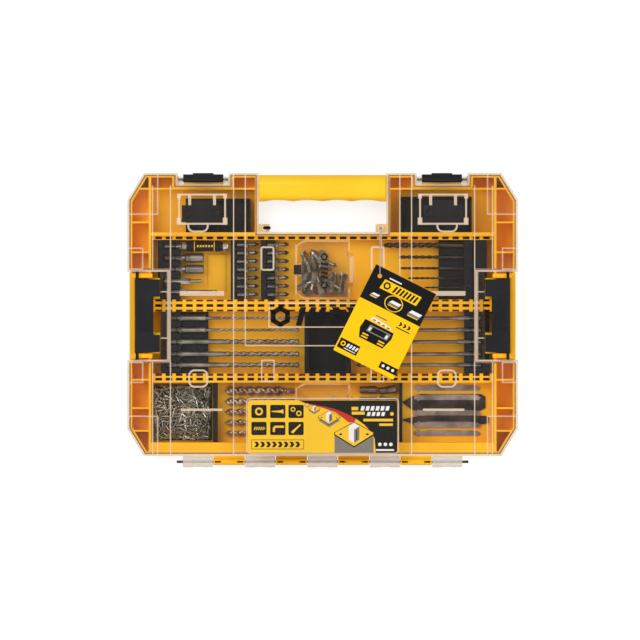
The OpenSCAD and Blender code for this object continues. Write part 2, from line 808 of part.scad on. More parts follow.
// The right-hand side latch: a flap with two hooks, on two pivots
module side_latch() {
    half = side_latch_l / 2;
    z = [z_side - 2, z_side + 2];
    x_tip = x_side - side_latch_w;
    hook_l = 19.4;
    color([0.11, 0.11, 0.12]) {
        block([x_side - 18.2, x_side + 1.9], [side_y - half, side_y + half], z);
        for (s = [-1, 1]) {
            y = s > 0 ? [side_y + half - hook_l, side_y + half] : [side_y - half, side_y - half + hook_l];
            block([x_tip, x_side - 18], y, z);
            block([x_tip, x_tip + 3.4], y, [z[0] - 4.4, z[0] + 1]);
            // Pivot and its tapered tip
            y0 = side_y + s * (half - 3);
            y1 = side_y + s * (half + pivot_l);
            rod_y(x_side, [min(y0, y1), max(y0, y1)], z_side, side_pivot_r);
            translate([x_side, y1, z_side])
                rotate([-90 * s, 0, 0])
                    cylinder(h = tip_l, r1 = side_pivot_r, r2 = 0.8);
        }
        // Grip ribs on the flap
        for (i = [0:5])
            block([x_side - 16 + i * 2.6, x_side - 14.8 + i * 2.6], [side_y - 17, side_y + 17],
                [z[1] - 0.5, z[1] + 0.6]);
    }
}

module side_latch_left() {
    mirror([1, 0, 0])
        side_latch();
}

module side_latch_right() {
    side_latch();
}

// ---------------------------------------------------------------- racks

// A rack with snap grooves along X at each of ys, open upwards
module grooved_rack(x, y, groove_x, ys, r) {
    color([0.13, 0.13, 0.14])
        difference() {
            block(x, y, [deck, deck + rack_h]);
            for (gy = ys) {
                rod_x(groove_x, gy, axis_z, r);
                block(groove_x, [gy - 0.8 * r, gy + 0.8 * r], [axis_z, deck + rack_h + over]);
            }
        }
}

upper_rack_y = [y_upper + seat_gap, y_upper_rail - seat_gap];
middle_rack_y = [y_middle + seat_gap, y_middle_rail - seat_gap];

// The two bit racks stand left of the small box, and the driver tools reach almost to the first one
x_bit_rack_right = -box_w / 2 - bit_rack_off;
x_bit_rack_left = x_bit_rack_right - bit_rack_step;

// Places along Y of the tools in the left rack of the upper bay, from the rail downwards
driver_ys = [for (d = [7.1, 20.5, 33.3, 46.6, 58.9]) y_upper_rail - d];
x_driver_rack = [-half_in + 7.2, -half_in + 32.8];
// Length along X that the driver tools have beyond their rack
driver_room = x_bit_rack_left - x_driver_rack[1];

module driver_rack() {
    grooved_rack(x_driver_rack, upper_rack_y, [x_driver_rack[0] + 6, x_driver_rack[1] + over], driver_ys,
        shank_groove_r);
}

module bit_holder_shank() {
    x0 = x_driver_rack[1];
    color([0.7, 0.7, 0.68]) {
        hex_x([x_driver_rack[0] + 7, x0 + 1.4], driver_ys[0], axis_z);
        difference() {
            rod_x([x0 + 1, x0 + 6.5], driver_ys[0], axis_z, 5.2);
            block([x0, x0 + 4], [driver_ys[0] - 1.6, driver_ys[0] + 1.6], [axis_z + 2, axis_z + 8]);
        }
        difference() {
            rod_x([x0 + driver_room - 9, x0 + driver_room - 2.4], driver_ys[0], axis_z, 5.4);
            rod_x([x0 + driver_room - 13, x0 + driver_room + 3], driver_ys[0], axis_z, 3.4);
        }
    }
}

module bit_holder_sleeve() {
    x0 = x_driver_rack[1];
    color([0.12, 0.12, 0.13])
        difference() {
            union() {
                rod_x([x0 + 6.5 + seat_gap, x0 + driver_room - 9 - seat_gap], driver_ys[0], axis_z, 6.1);
                for (x = [x0 + 10, x0 + driver_room - 13])
                    rod_x([x, x + 1.6], driver_ys[0], axis_z, 6.5);
            }
            rod_x([x0 + driver_room - 27, x0 + driver_room - 7], driver_ys[0], axis_z, 3.8);
        }
}

module nut_drivers() {
    x0 = x_driver_rack[1];
    color([0.62, 0.6, 0.58])
        for (i = [1, 2]) {
            r = i == 1 ? 5.4 : 5.2;
            y = driver_ys[i];
            difference() {
                union() {
                    hex_x([x_driver_rack[0] + 7, x0 + 2], y, axis_z);
                    cone_x([x0 + 1.6, x0 + 5.6], y, axis_z, 3.4, 4.4);
                    rod_x([x0 + 5.6, x0 + 26.2], y, axis_z, r);
                }
                rod_x([x0 + 14, x0 + 27], y, axis_z, r - 1.3, 6);
                difference() {
                    rod_x([x0 + 9, x0 + 10.4], y, axis_z, r + 1);
                    rod_x([x0 + 8, x0 + 11], y, axis_z, r - 0.4);
                }
            }
        }
}

module shank_adapters() {
    x0 = x_driver_rack[1];
    color([0.68, 0.66, 0.62]) {
        hex_x([x_driver_rack[0] + 7, x0 + 12], driver_ys[3], axis_z);
        rod_x([x0 + 12, x0 + 20], driver_ys[3], axis_z, 1.9);
        cone_x([x0 + 20, x0 + 26], driver_ys[3], axis_z, 2.6, 0.8);
        hex_x([x_driver_rack[0] + 7, x0 + 8], driver_ys[4], axis_z);
        rod_x([x0 + 8, x0 + driver_room - 19], driver_ys[4], axis_z, 2.2);
        cone_x([x0 + driver_room - 19, x0 + driver_room - 14], driver_ys[4], axis_z, 2.6, 0.9);
    }
}

// Places along Y of the short bits
bit_ys = [for (i = [0:rack_bits - 1]) y_upper + upper_bay - 5.6 - i * bit_pitch];
bit_rack_w = 16.2;

module bit_rack(x0) {
    grooved_rack([x0, x0 + bit_rack_w], upper_rack_y, [x0 + 6.2, x0 + bit_rack_w + over], bit_ys,
        shank_groove_r);
}

module bit_rack_left() {
    bit_rack(x_bit_rack_left);
}

module bit_rack_right() {
    bit_rack(x_bit_rack_right);
}

// A short driver bit that points along +X from x0
module driver_bit(x0, y, z) {
    hex_x([x0, x0 + bit_len - 12.5], y, z);
    cone_x([x0 + bit_len - 12.5, x0 + bit_len - 11], y, z, 3.1, 2);
    rod_x([x0 + bit_len - 11, x0 + bit_len - 5.6], y, z, 2);
    cone_x([x0 + bit_len - 5.6, x0 + bit_len - 4], y, z, 2, 2.7);
    cone_x([x0 + bit_len - 4, x0 + bit_len], y, z, 2.7, 0.9);
}

module driver_bit_row(x0) {
    color([0.45, 0.44, 0.43])
        for (y = bit_ys)
            driver_bit(x0 + 6.8, y, axis_z);
}

module driver_bits_left() {
    driver_bit_row(x_bit_rack_left);
}

module driver_bits_right() {
    driver_bit_row(x_bit_rack_right);
}

// ---------------------------------------------------------------- drills

// Radii of the twist drills and how far their tips stand from the rack, from the rail downwards
drill_rs = [3.1, 2.1, 1.7, 1.4, 1.2, 1.0];
drill_reach = [91.4, 74.2, 71.9, 63.3, 44.5, 32];
drill_ys = [for (d = [6, 19.5, 32.1, 43.4, 54, 63.2]) y_upper_rail - d];
x_drill_strip = half_in - 33.8;

module drill_rack() {
    x = x_drill_strip;
    z1 = deck + rack_h;
    color([0.13, 0.13, 0.14])
        difference() {
            union() {
                block([x - 28.4, x], upper_rack_y, [deck, axis_z - 4.4]);
                block([x, x + 9.5], upper_rack_y, [deck, z1]);
                block([x + 9.5, x + 12.5], upper_rack_y, [deck, z1 - 4]);
                block([x + 12.5, x + 26], upper_rack_y, [deck, z1 + 1]);
            }
            for (i = [0:5]) {
                rod_x([x - over, x + 7], drill_ys[i], axis_z, drill_rs[i] + 0.15);
                // Sight hole over the end of the shank
                translate([x + 3.6, drill_ys[i], axis_z])
                    cylinder(h = rack_h, r = 1.1);
            }
        }
}

// A fluted rod along X: a flat section that turns as it goes
module fluted_rod(x, y, z, r, turns) {
    a = 0.9 * r;
    b = 0.42 * r;
    translate([x[0], y, z])
        rotate([0, 90, 0])
            linear_extrude(x[1] - x[0], twist = 360 * turns, slices = ceil(7 * turns), $fn = 4)
                polygon([[a, b], [-a, b], [-a, -b], [a, -b]]);
}

module twist_drills() {
    color([0.16, 0.15, 0.15])
        for (i = [0:5]) {
            tip = x_drill_strip - drill_reach[i];
            r = drill_rs[i];
            flute_end = x_drill_strip - 26 + (drill_reach[i] < 40 ? 12 : 0);
            rod_x([flute_end, x_drill_strip + 6.4], drill_ys[i], axis_z, r);
            fluted_rod([tip + r, flute_end + 0.5], drill_ys[i], axis_z, r, 4);
            cone_x([tip, tip + r], drill_ys[i], axis_z, 0.2, 0.7 * r);
        }
}

masonry_ys = [for (d = [7.4, 20.9, 34.2, 48.1, 60.5]) y_middle_rail - d];
x_masonry_rack = [-half_in + 10.5, -half_in + 32.8];

module masonry_rack() {
    x = x_masonry_rack;
    grooved_rack(x, middle_rack_y, [x[0] + 6, x[1] + over], masonry_ys, shank_groove_r);
    // Low bed under the shanks
    color([0.13, 0.13, 0.14])
        block([x[1] - 1, x[1] + 31.4], middle_rack_y, [deck, axis_z - 4.2]);
}

module masonry_drills() {
    x0 = x_masonry_rack[0] + 7;
    x_tip = x_bin - bin_w / 2 - tip_gap;
    color([0.55, 0.53, 0.5])
        for (i = [0:4]) {
            r = i < 2 ? 0.6 * masonry_r : masonry_r;
            x_flute = i < 2 ? x0 + 58 : x0 + 64;
            hex_x([x0, x0 + 17], masonry_ys[i], axis_z);
            rod_x([x0 + 17, x0 + 44], masonry_ys[i], axis_z, masonry_r);
            rod_x([x0 + 44, x_flute], masonry_ys[i], axis_z, r);
            fluted_rod([x_flute - 0.5, x_tip - 4], masonry_ys[i], axis_z, r, 4);
            rod_x([x_tip - 4.5, x_tip - 1.5], masonry_ys[i], axis_z, r + 0.3);
            cone_x([x_tip - 1.5, x_tip], masonry_ys[i], axis_z, r + 0.3, 0.4);
        }
}

x_bin = 5.85;

module middle_bin() {
    x = [x_bin - bin_w / 2, x_bin + bin_w / 2];
    wall = 2;
    color([0.1, 0.1, 0.11])
        difference() {
            block(x, middle_rack_y, [deck, deck + rack_h + 3]);
            block([x[0] + 5.4, x[1] - 6.4], [middle_rack_y[0] + wall, middle_rack_y[1] - wall],
                [deck + wall, deck + rack_h + 3 + over]);
        }
}

x_long_rack = [half_in - 33.3, half_in - 4.8];

module long_bit_rack() {
    x = x_long_rack;
    grooved_rack(x, middle_rack_y, [x[0] - over, x[1] - 8], masonry_ys, shank_groove_r);
}

module long_bits() {
    x1 = x_long_rack[1] - 9;
    x0 = x_bin + bin_w / 2 + tip_gap;
    color([0.6, 0.58, 0.56])
        for (y = masonry_ys) {
            hex_x([x_long_rack[0] + 1, x1], y, axis_z);
            rod_x([x_long_rack[0] - 8, x_long_rack[0] + 1], y, axis_z, 2.7);
            rod_x([x0 + 6, x_long_rack[0] - 8], y, axis_z, 1.95);
            rotate_tip(x0, y);
        }
}

// Driver tip of a long bit, pointing along -X
module rotate_tip(x0, y) {
    cone_x([x0, x0 + 4], y, axis_z, 0.8, 2.3);
    cone_x([x0 + 4, x0 + 6], y, axis_z, 2.3, 1.95);
}

// ---------------------------------------------------------------- lower bay

lower_y = [y_lower + seat_gap, y_lower_rail - seat_gap];
x_screw_divider = [-half_in + 69.7, -half_in + 74.8];
x_saw_divider = [half_in - 106.9, half_in - 103.3];

module screw_divider() {
    color([0.1, 0.1, 0.11])
        block(x_screw_divider, lower_y, [deck, deck + rack_h]);
}

module saw_divider() {
    color([0.1, 0.1, 0.11])
        block(x_saw_divider, lower_y, [deck, deck + rack_h]);
}

// A small screw along X, its middle at the origin
module screw() {
    cone_x([-screw_len / 2, -screw_len / 2 + 1.8], 0, 0, 1.9, 1.15);
    rod_x([-screw_len / 2 + 1.8, screw_len / 2 - 2], 0, 0, 1.15);
    cone_x([screw_len / 2 - 2, screw_len / 2], 0, 0, 1.15, 0.2);
}

// A heap of small screws: layers of cells, each with four screws side by side at its own turn
module screws() {
    cell = 14.6;
    x0 = -half_in + 2;
    columns = floor((x_screw_divider[0] - x0) / cell);
    rows = floor((lower_y[1] - lower_y[0]) / cell);
    color([0.72, 0.7, 0.66])
        for (layer = [0:1], i = [0:columns - 1], j = [0:rows - 1])
            translate([x0 + (i + 0.5) * cell, lower_y[0] + 3 + (j + 0.5) * cell, deck + 1.9 + 3.45 * layer])
                rotate([0, 0, 90 * ((i + j + layer) % 2) + 4 * sin(73 * (i + 3 * j + 5 * layer))])
                    for (k = [0:3])
                        translate([0.3 * (k - 1.5), 2.75 * (k - 1.5), 0])
                            rotate([0, 0, 180 * (k % 2)])
                                screw();
}

wood_rs = [5.2, 4.4, 4, 3.6, 3];
wood_ys = [for (d = [9.2, 21.4, 33.4, 45.4, 57.4]) y_lower_rail - d];

module wood_drills() {
    x_tip = x_screw_divider[1] + 7.4;
    x1 = -box_w / 2 - 0.6;
    color([0.42, 0.29, 0.22])
        for (i = [0:4]) {
            r = wood_rs[i];
            z = deck + max(r, hex_r);
            hex_x([x1 - 18, x1], wood_ys[i], z);
            rod_x([x1 - 24, x1 - 17], wood_ys[i], z, 2.2);
            fluted_rod([x_tip + 4, x1 - 21.5], wood_ys[i], z, r, 2.5);
            cone_x([x_tip, x_tip + 4.2], wood_ys[i], z, 0.3, 0.6 * r);
        }
}

// A dark hexagon socket along X
module small_socket(at, turn, len) {
    translate(at)
        rotate([0, 0, turn])
            difference() {
                rod_x([-len / 2, len / 2], 0, 0, 4.4);
                rod_x([0, len / 2 + 1], 0, 0, 3.2, 6);
            }
}

module small_sockets() {
    x = [box_x_right + 10, x_saw_divider[0] - 1.9];
    pitch = (x[1] - x[0]) / 2;
    len = pitch - 2;
    color([0.22, 0.2, 0.19])
        for (i = [0:1], j = [0:4])
            small_socket([x[0] + (i + 0.5) * pitch, lower_y[1] - 8 - j * 12, deck + 4.5],
                8 * sin(95 * (i + 2 * j)), len);
}

// Outline of a jigsaw blade that points along +X, with its bayonet shank at x = 0
function jigsaw_outline(len) = concat(
    [[0, -2.2], [0, 2.2], [3.4, 2.2], [3.4, 3.6], [6.2, 3.6], [6.2, 2.6]],
    [[12, 2.6], [18, 3.6], [len - 5, 3.2], [len, 0.4]],
    [for (i = [0:11]) each [[len - 2 - i * 4.4, -3.4], [len - 4.4 - i * 4.4, -2.4]]],
    [[12, -3.2], [6.2, -2.6], [6.2, -3.6], [3.4, -3.6], [3.4, -2.2]]
);

module jigsaw_blades() {
    x0 = x_saw_divider[1] + 13.5;
    ys = [6.3, 16.9, 34.3, 47.8, 57.4];
    color([0.5, 0.47, 0.45])
        for (i = [0:4]) {
            raised = i > 0 && i < 4;
            translate([x0, y_lower_rail - ys[i], deck + (raised ? 1.8 + seat_gap : 0)])
                linear_extrude(1.2)
                    polygon(jigsaw_outline(jigsaw_len));
        }
}

// A broad dark saw blade that points along -X
module broad_blade(x, y, w) {
    translate([x[0], y, deck])
        linear_extrude(1.6)
            polygon([
                [0, 0.6], [0, -0.6], [12, -w / 2], [x[1] - x[0] - 6, -w / 2], [x[1] - x[0], -w / 3],
                [x[1] - x[0], w / 3], [x[1] - x[0] - 5, w / 2], [20, w / 2], [10, w / 3]
            ]);
}

module saw_blades() {
    x0 = x_saw_divider[1] + 0.5;
    color([0.16, 0.14, 0.13]) {
        broad_blade([x0, x0 + 94], y_lower_rail - 22.5, 19);
        broad_blade([x0, x0 + 98], y_lower_rail - 42.5, 9.4);
    }
}

// ---------------------------------------------------------------- small boxes

// Both boxes are as deep as the upper bay's; the second stands at the same place in the lower bay
box_x_left = -box_w / 2;
box_x_right = box_w / 2;
box_top = deck + box_h;
x_box_hinge = box_x_right + box_hinge_r + 0.5;
box_latch_y = box_l / 2 - 4.4;
box_pivot_x = box_x_left + 5.4;
box_pivot_z = box_top + box_lid_t + 1.6;

// Plan of a box with its two cut corners on the left, moved inwards by e
function box_outline(e) = [
    [box_x_left + e, box_corner[1] + e], [box_x_left + e, box_l - box_corner[1] - e],
    [box_x_left + box_corner[0] + 0.5 * e, box_l - e], [box_x_right - e, box_l - e],
    [box_x_right - e, e], [box_x_left + box_corner[0] + 0.5 * e, e]
];

// Body of a small box, its lower edge at y = 0
module box_body() {
    y_mid = box_l / 2;
    color([0.85, 0.83, 0.8, 0.4])
        difference() {
            union() {
                translate([0, 0, deck])
                    linear_extrude(box_h - 0.2)
                        polygon(box_outline(0));
                // Ears of the hinge
                for (s = [-1, 1]) {
                    y = s > 0 ? [y_mid + 15.4, y_mid + 19] : [y_mid - 19, y_mid - 15.4];
                    block([box_x_right - over, x_box_hinge], y, [box_top - 4, box_top + box_hinge_r - 0.6]);
                    rod_y(x_box_hinge, y, box_top, box_hinge_r);
                }
            }
            translate([0, 0, deck + box_wall])
                linear_extrude(box_h)
                    polygon(box_outline(box_wall));
            rod_y(x_box_hinge, [0, box_l], box_top, box_pin_r + pin_play);
        }
}

// Lid of a small box, closed
module box_lid() {
    y_mid = box_l / 2;
    color([0.88, 0.86, 0.83, 0.4]) {
        rod_y(x_box_hinge, [y_mid - 18.6, y_mid + 18.6], box_top, box_pin_r);
        difference() {
            union() {
                translate([0, 0, box_top])
                    linear_extrude(box_lid_t)
                        polygon(box_outline(0));
                // Hinge barrel
                rod_y(x_box_hinge, [y_mid - 15, y_mid + 15], box_top, box_hinge_r);
                block([box_x_right - over, x_box_hinge], [y_mid - 15, y_mid + 15],
                    [box_top, box_top + box_lid_t]);
                // Ears of the box latch
                for (s = [-1, 1]) {
                    y = s > 0 ? [y_mid + 5.7, y_mid + 7.8] : [y_mid - 7.8, y_mid - 5.7];
                    block([box_pivot_x - 1.6, box_pivot_x + 1.6], y, [box_top, box_pivot_z]);
                    rod_y(box_pivot_x, y, box_pivot_z, 1.6);
                }
            }
            rod_y(box_pivot_x, [y_mid - 9, y_mid + 9], box_pivot_z, 0.8 + pin_play);
            // Room for the ears of the body
            for (s = [-1, 1])
                block([box_x_right - 1.4, x_box_hinge + 3], s > 0 ? [y_mid + 15.1, y_mid + 19.4]
                    : [y_mid - 19.4, y_mid - 15.1], [box_top - 4, box_top + 4]);
        }
    }
}

// Latch of a small box, closed
module box_latch() {
    y = [box_l / 2 - 5.3, box_l / 2 + 5.3];
    x_out = box_x_left - 1.6;
    color([0.1, 0.1, 0.11]) {
        rod_y(box_pivot_x, [y[0] - 2.2, y[1] + 2.2], box_pivot_z, 0.8);
        rod_y(box_pivot_x, y, box_pivot_z, 1.25);
        block([x_out, box_pivot_x], y, [box_top + box_lid_t + seat_gap, box_pivot_z + 1]);
        block([x_out, box_x_left - seat_gap], y, [box_top - 7, box_pivot_z]);
    }
}

module at_upper_box() {
    translate([0, y_upper + seat_gap, 0])
        children();
}

module at_lower_box() {
    translate([0, y_lower + (lower_bay - upper_bay) + seat_gap, 0])
        children();
}

module bit_box() {
    at_upper_box()
        box_body();
}

module bit_box_lid() {
    at_upper_box()
        box_lid();
}

module bit_box_latch() {
    at_upper_box()
        box_latch();
}

module parts_box() {
    at_lower_box()
        box_body();
}

module parts_box_lid() {
    at_lower_box()
        box_lid();
}

module parts_box_latch() {
    at_lower_box()
        box_latch();
}

// Loose bits: two layers of cells with three bits side by side, turned in chequers
module loose_bits() {
    color([0.62, 0.6, 0.58])
        for (layer = [0:1], i = [0:1], j = [0:1])
            translate([-12.6 + 27.2 * i, y_upper + 19.9 + 28 * j, deck + box_wall + 3.4 + 6.6 * layer])
                rotate([0, 0, 90 * ((i + j + layer) % 2) + 3 * sin(50 * (i + 2 * j + 4 * layer))])
                    for (k = [-1:1])
                        translate([-bit_len / 2 + 0.5 * k, 7.6 * k, 0])
                            driver_bit(0, 0, 0);
}

// ---------------------------------------------------------------- trays beside the grip

// A shallow black tray with two rows of pockets
module accessory_tray(x, y) {
    z = [deck, deck + 21];
    w = (x[1] - x[0] - 3 * 2) / 2;
    l = y[1] - y[0] - 2 * 2;
    color([0.1, 0.1, 0.11])
        difference() {
            block(x, y, z);
            for (i = [0:1])
                block([x[0] + 2 + i * (w + 2), x[0] + 2 + w + i * (w + 2)], [y[0] + 2, y[0] + 2 + l],
                    [z[0] + 8, z[1] + over]);
        }
}

module accessory_tray_left() {
    accessory_tray([-latch_x - 20.2, -latch_x + 53], [y_gap + seat_gap, y_gap + 38.4]);
}

module accessory_tray_right() {
    accessory_tray([latch_x - 46.4, latch_x + 34.2], [y_gap + seat_gap, y_gap + 40.6]);
}

// ---------------------------------------------------------------- swing tag and its string

module swing_tag() {
    color([1, 0.8, 0.02])
        translate([tag_at[0], tag_at[1], tag_z])
            rotate([0, 0, tag_turn])
                difference() {
                    round_plate([0, 0], tag_w, tag_l, 0.8, [0, card_t]);
                    translate([tag_hole_at[0], tag_hole_at[1], -over])
                        cylinder(h = card_t + 2 * over, r = tag_hole_r);
                }
}

// A point of the string in the case's frame
function string_point(i) = [string_route[i][0], y_gap + string_route[i][1], lid_z1 + string_route[i][2]];

// A point between points i and i + 1 of the route, on a smooth curve through all of them
function on_string(i, t) = let (
    n = len(string_route),
    a = string_point(max(i - 1, 0)),
    b = string_point(i),
    c = string_point(min(i + 1, n - 1)),
    d = string_point(min(i + 2, n - 1))
) 0.5 * (2 * b + (c - a) * t + (2 * a - 5 * b + 4 * c - d) * t * t + (3 * b - a - 3 * c + d) * t * t * t);

string_points = concat(
    [for (i = [0:len(string_route) - 2], s = [0:string_steps - 1]) on_string(i, s / string_steps)],
    [string_point(len(string_route) - 1)]
);

// A unit vector along v
function unit(v) = v / norm(v);

// A ring of eight points round point i of the string; the first and last lie flat
function string_ring(i) = let (
    n = len(string_points),
    last = i == n - 1,
    tangent = i == 0 ? [0, 0, 1] : last ? [0, 0, -1] : unit(string_points[i + 1] - string_points[i - 1]),
    u = unit([1, 0, 0] - tangent[0] * tangent),
    v = cross(tangent, u)
) [for (k = [0:7]) string_points[i] + string_r * (cos(45 * k) * u + sin(45 * k) * v)];

module tag_loop() {
    n = len(string_points);
    rings = [for (i = [0:n - 1]) each string_ring(i)];
    sides = [
        for (i = [0:n - 2], k = [0:7])
            let (a = 8 * i + k, b = 8 * i + (k + 1) % 8)
            each [[a, b + 8, b], [a, a + 8, b + 8]]
    ];
    caps = [[for (k = [0:7]) k], [for (k = [7:-1:0]) 8 * (n - 1) + k]];
    color([0.85, 0.83, 0.78])
        polyhedron(rings, concat(sides, caps));
}

// Knot under the ear that keeps the string in its hole
module loop_knot() {
    z1 = lid_z1 + string_route[0][2];
    color([0.85, 0.83, 0.78])
        translate([gap_half - 6.3, y_gap + 4.6, z1 - 2.2])
            cylinder(h = 2.2, r = 2.5);
}

base_tray();
carry_grip();
rail_upper();
rail_middle();
rail_lower();
hinge_strip();
driver_rack();
bit_holder_sleeve();
bit_holder_shank();
nut_drivers();
shank_adapters();
bit_rack_left();
bit_rack_right();
driver_bits_left();
driver_bits_right();
bit_box();
bit_box_lid();
bit_box_latch();
loose_bits();
drill_rack();
twist_drills();
masonry_rack();
masonry_drills();
middle_bin();
long_bit_rack();
long_bits();
screw_divider();
screws();
wood_drills();
parts_box();
parts_box_lid();
parts_box_latch();
small_sockets();
saw_divider();
jigsaw_blades();
saw_blades();
accessory_tray_left();
accessory_tray_right();
lid_shell();
hinge_pins();
latch_pins();
label_card();
stack_catch_left();
stack_catch_right();
lock_hole_plug();
swing_tag();
tag_loop();
loop_knot();
front_latch_left();
front_latch_right();
side_latch_left();
side_latch_right();
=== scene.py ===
"""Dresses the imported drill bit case: a tray with a hinged clear lid, latches, racks, bits and cards.

Every new piece is modelled at its place in the case's own frame, in metres. The sizes below are in
millimetres, as in the part's source, and are turned into metres where a mesh is made.
"""

import json
import logging
import math
import random
from collections.abc import Callable, Iterator, Sequence
from contextlib import contextmanager
from dataclasses import dataclass, field
from enum import Enum

import bmesh
import bpy
from mathutils import Matrix, Vector

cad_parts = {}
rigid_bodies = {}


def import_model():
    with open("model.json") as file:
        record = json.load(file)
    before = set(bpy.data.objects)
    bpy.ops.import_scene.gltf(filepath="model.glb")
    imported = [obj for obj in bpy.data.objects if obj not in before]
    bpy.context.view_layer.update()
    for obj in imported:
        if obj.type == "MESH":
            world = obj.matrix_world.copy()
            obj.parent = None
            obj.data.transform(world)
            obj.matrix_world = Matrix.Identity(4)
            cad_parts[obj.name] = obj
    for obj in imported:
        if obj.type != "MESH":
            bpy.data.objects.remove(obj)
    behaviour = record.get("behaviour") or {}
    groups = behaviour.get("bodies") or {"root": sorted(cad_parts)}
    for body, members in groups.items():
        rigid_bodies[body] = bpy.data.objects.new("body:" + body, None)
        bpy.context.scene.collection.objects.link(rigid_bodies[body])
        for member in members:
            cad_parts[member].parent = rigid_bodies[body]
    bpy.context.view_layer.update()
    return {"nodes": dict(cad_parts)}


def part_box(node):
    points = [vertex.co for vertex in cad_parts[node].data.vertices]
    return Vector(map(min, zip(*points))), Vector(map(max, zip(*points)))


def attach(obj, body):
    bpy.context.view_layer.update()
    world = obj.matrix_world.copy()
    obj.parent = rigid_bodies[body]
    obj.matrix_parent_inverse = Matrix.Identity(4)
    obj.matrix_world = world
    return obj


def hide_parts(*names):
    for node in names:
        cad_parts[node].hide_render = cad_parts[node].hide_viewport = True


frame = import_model()

LOG = logging.getLogger("case")
MM = 0.001
BEND = math.radians(30)
FLAT_AREA = 60.0  # level faces above this size, in square millimetres, are shaded flat
LAND = 0.5  # share of a drill that stands at full radius between two flutes
STEPS_PER_TURN = 11  # how finely flutes are swept
TIE = 1e-6  # points nearer than this, in metres, are merged

Point = tuple[float, float]
Point3 = tuple[float, float, float]
Span = tuple[float, float]
Colour = tuple[float, float, float]
Piece = bpy.types.Object
Material = bpy.types.Material
Socket = bpy.types.NodeSocket
Test = Callable[[Vector, Vector], bool]


# ---------------------------------------------------------------- modelling tools


def deselect() -> None:
    """Leaves nothing selected, so that an operator acts only on what is picked next."""
    for obj in bpy.context.view_layer.objects:
        if obj.select_get():
            obj.select_set(False)


def activate(obj: Piece) -> None:
    """Selects one object alone and makes it active.

    Args:
        obj: The object.
    """
    deselect()
    obj.select_set(True)
    bpy.context.view_layer.objects.active = obj


@contextmanager
def editing(obj: Piece) -> Iterator[None]:
    """Holds an object in edit mode.

    Args:
        obj: The mesh object to edit.

    Yields:
        Nothing, while the object is in edit mode.
    """
    activate(obj)
    bpy.ops.object.mode_set(mode="EDIT")
    try:
        yield
    finally:
        bpy.ops.object.mode_set(mode="OBJECT")


def pick(obj: Piece, test: Test, kind: str = "FACE") -> None:
    """Selects faces or points of an object in edit mode by their place and normal.

    Args:
        obj: The object that is in edit mode.
        test: Is given the middle in millimetres and the normal of each face or point.
        kind: FACE or VERT.
    """
    bpy.ops.mesh.select_mode(type=kind)
    bpy.ops.mesh.select_all(action="DESELECT")
    mesh = bmesh.from_edit_mesh(obj.data)
    if kind == "FACE":
        for face in mesh.faces:
            face.select_set(test(face.calc_center_median() / MM, face.normal))
    else:
        for vert in mesh.verts:
            vert.select_set(test(vert.co / MM, vert.normal))
    mesh.select_flush_mode()
    bmesh.update_edit_mesh(obj.data)


def settle(obj: Piece) -> Piece:
    """Puts the object's place, turn and scale into its mesh.

    Args:
        obj: The object.

    Returns:
        The same object.
    """
    activate(obj)
    bpy.ops.object.transform_apply(location=True, rotation=True, scale=True)
    return obj


def apply_modifier(obj: Piece, kind: str, **settings: object) -> Piece:
    """Adds a modifier with these settings and applies it.

    Args:
        obj: The mesh object.
        kind: Blender's type of modifier, such as BEVEL.
        settings: The modifier's properties.

    Returns:
        The same object.
    """
    activate(obj)
    modifier = obj.modifiers.new(kind.lower(), kind)
    for key, value in settings.items():
        setattr(modifier, key, value)
    bpy.ops.object.modifier_apply(modifier=modifier.name)
    return obj


def round_edges(obj: Piece, width: float, segments: int = 2) -> Piece:
    """Bevels the sharp edges of an object.

    Args:
        obj: The mesh object.
        width: The bevel's width in millimetres.
        segments: How many faces the bevel has across.

    Returns:
        The same object.
    """
    return apply_modifier(
        obj, "BEVEL", width=width * MM, segments=segments, limit_method="ANGLE", angle_limit=BEND,
        harden_normals=False, use_clamp_overlap=True,
    )


def outwards(obj: Piece) -> Piece:
    """Merges doubled points and turns every face outwards.

    Args:
        obj: The mesh object.

    Returns:
        The same object.
    """
    with editing(obj):
        bpy.ops.mesh.select_all(action="SELECT")
        bpy.ops.mesh.remove_doubles(threshold=TIE)
        bpy.ops.mesh.normals_make_consistent(inside=False)
    return obj


def box(name: str, x: Span, y: Span, z: Span) -> Piece:
    """Adds a cube primitive stretched between limits in millimetres.

    Args:
        name: The object's name.
        x: Lowest and highest X.
        y: Lowest and highest Y.
        z: Lowest and highest Z.

    Returns:
        The new object.
    """
    deselect()
    bpy.ops.mesh.primitive_cube_add(
        size=1,
        location=[sum(span) / 2 * MM for span in (x, y, z)],
        scale=[(span[1] - span[0]) * MM for span in (x, y, z)],
    )
    obj = bpy.context.object
    obj.name = name
    return settle(obj)


def sheet(name: str, outline: Sequence[Point], z: float) -> Piece:
    """Makes one flat face: a circle primitive whose points move onto the outline.

    Args:
        name: The object's name.
        outline: The corners in plan, in millimetres, anticlockwise.
        z: Its height.

    Returns:
        The new object.
    """
    deselect()
    bpy.ops.mesh.primitive_circle_add(vertices=len(outline), radius=1, fill_type="NGON")
    obj = bpy.context.object
    obj.name = name
    for vert, (px, py) in zip(obj.data.vertices, outline):
        vert.co = (px * MM, py * MM, z * MM)
    return obj


def raise_all(height: float) -> None:
    """Extrudes all faces of the object in edit mode upwards, in millimetres."""
    bpy.ops.mesh.select_all(action="SELECT")
    bpy.ops.mesh.extrude_region_move(TRANSFORM_OT_translate={"value": (0, 0, height * MM)})


def slab(name: str, outline: Sequence[Point], z: Span) -> Piece:
    """Makes a flat prism from an outline.

    Args:
        name: The object's name.
        outline: The corners in plan, in millimetres, anticlockwise.
        z: Lower and upper height.

    Returns:
        The new object.
    """
    obj = sheet(name, outline, z[0])
    with editing(obj):
        raise_all(z[1] - z[0])
    return outwards(obj)


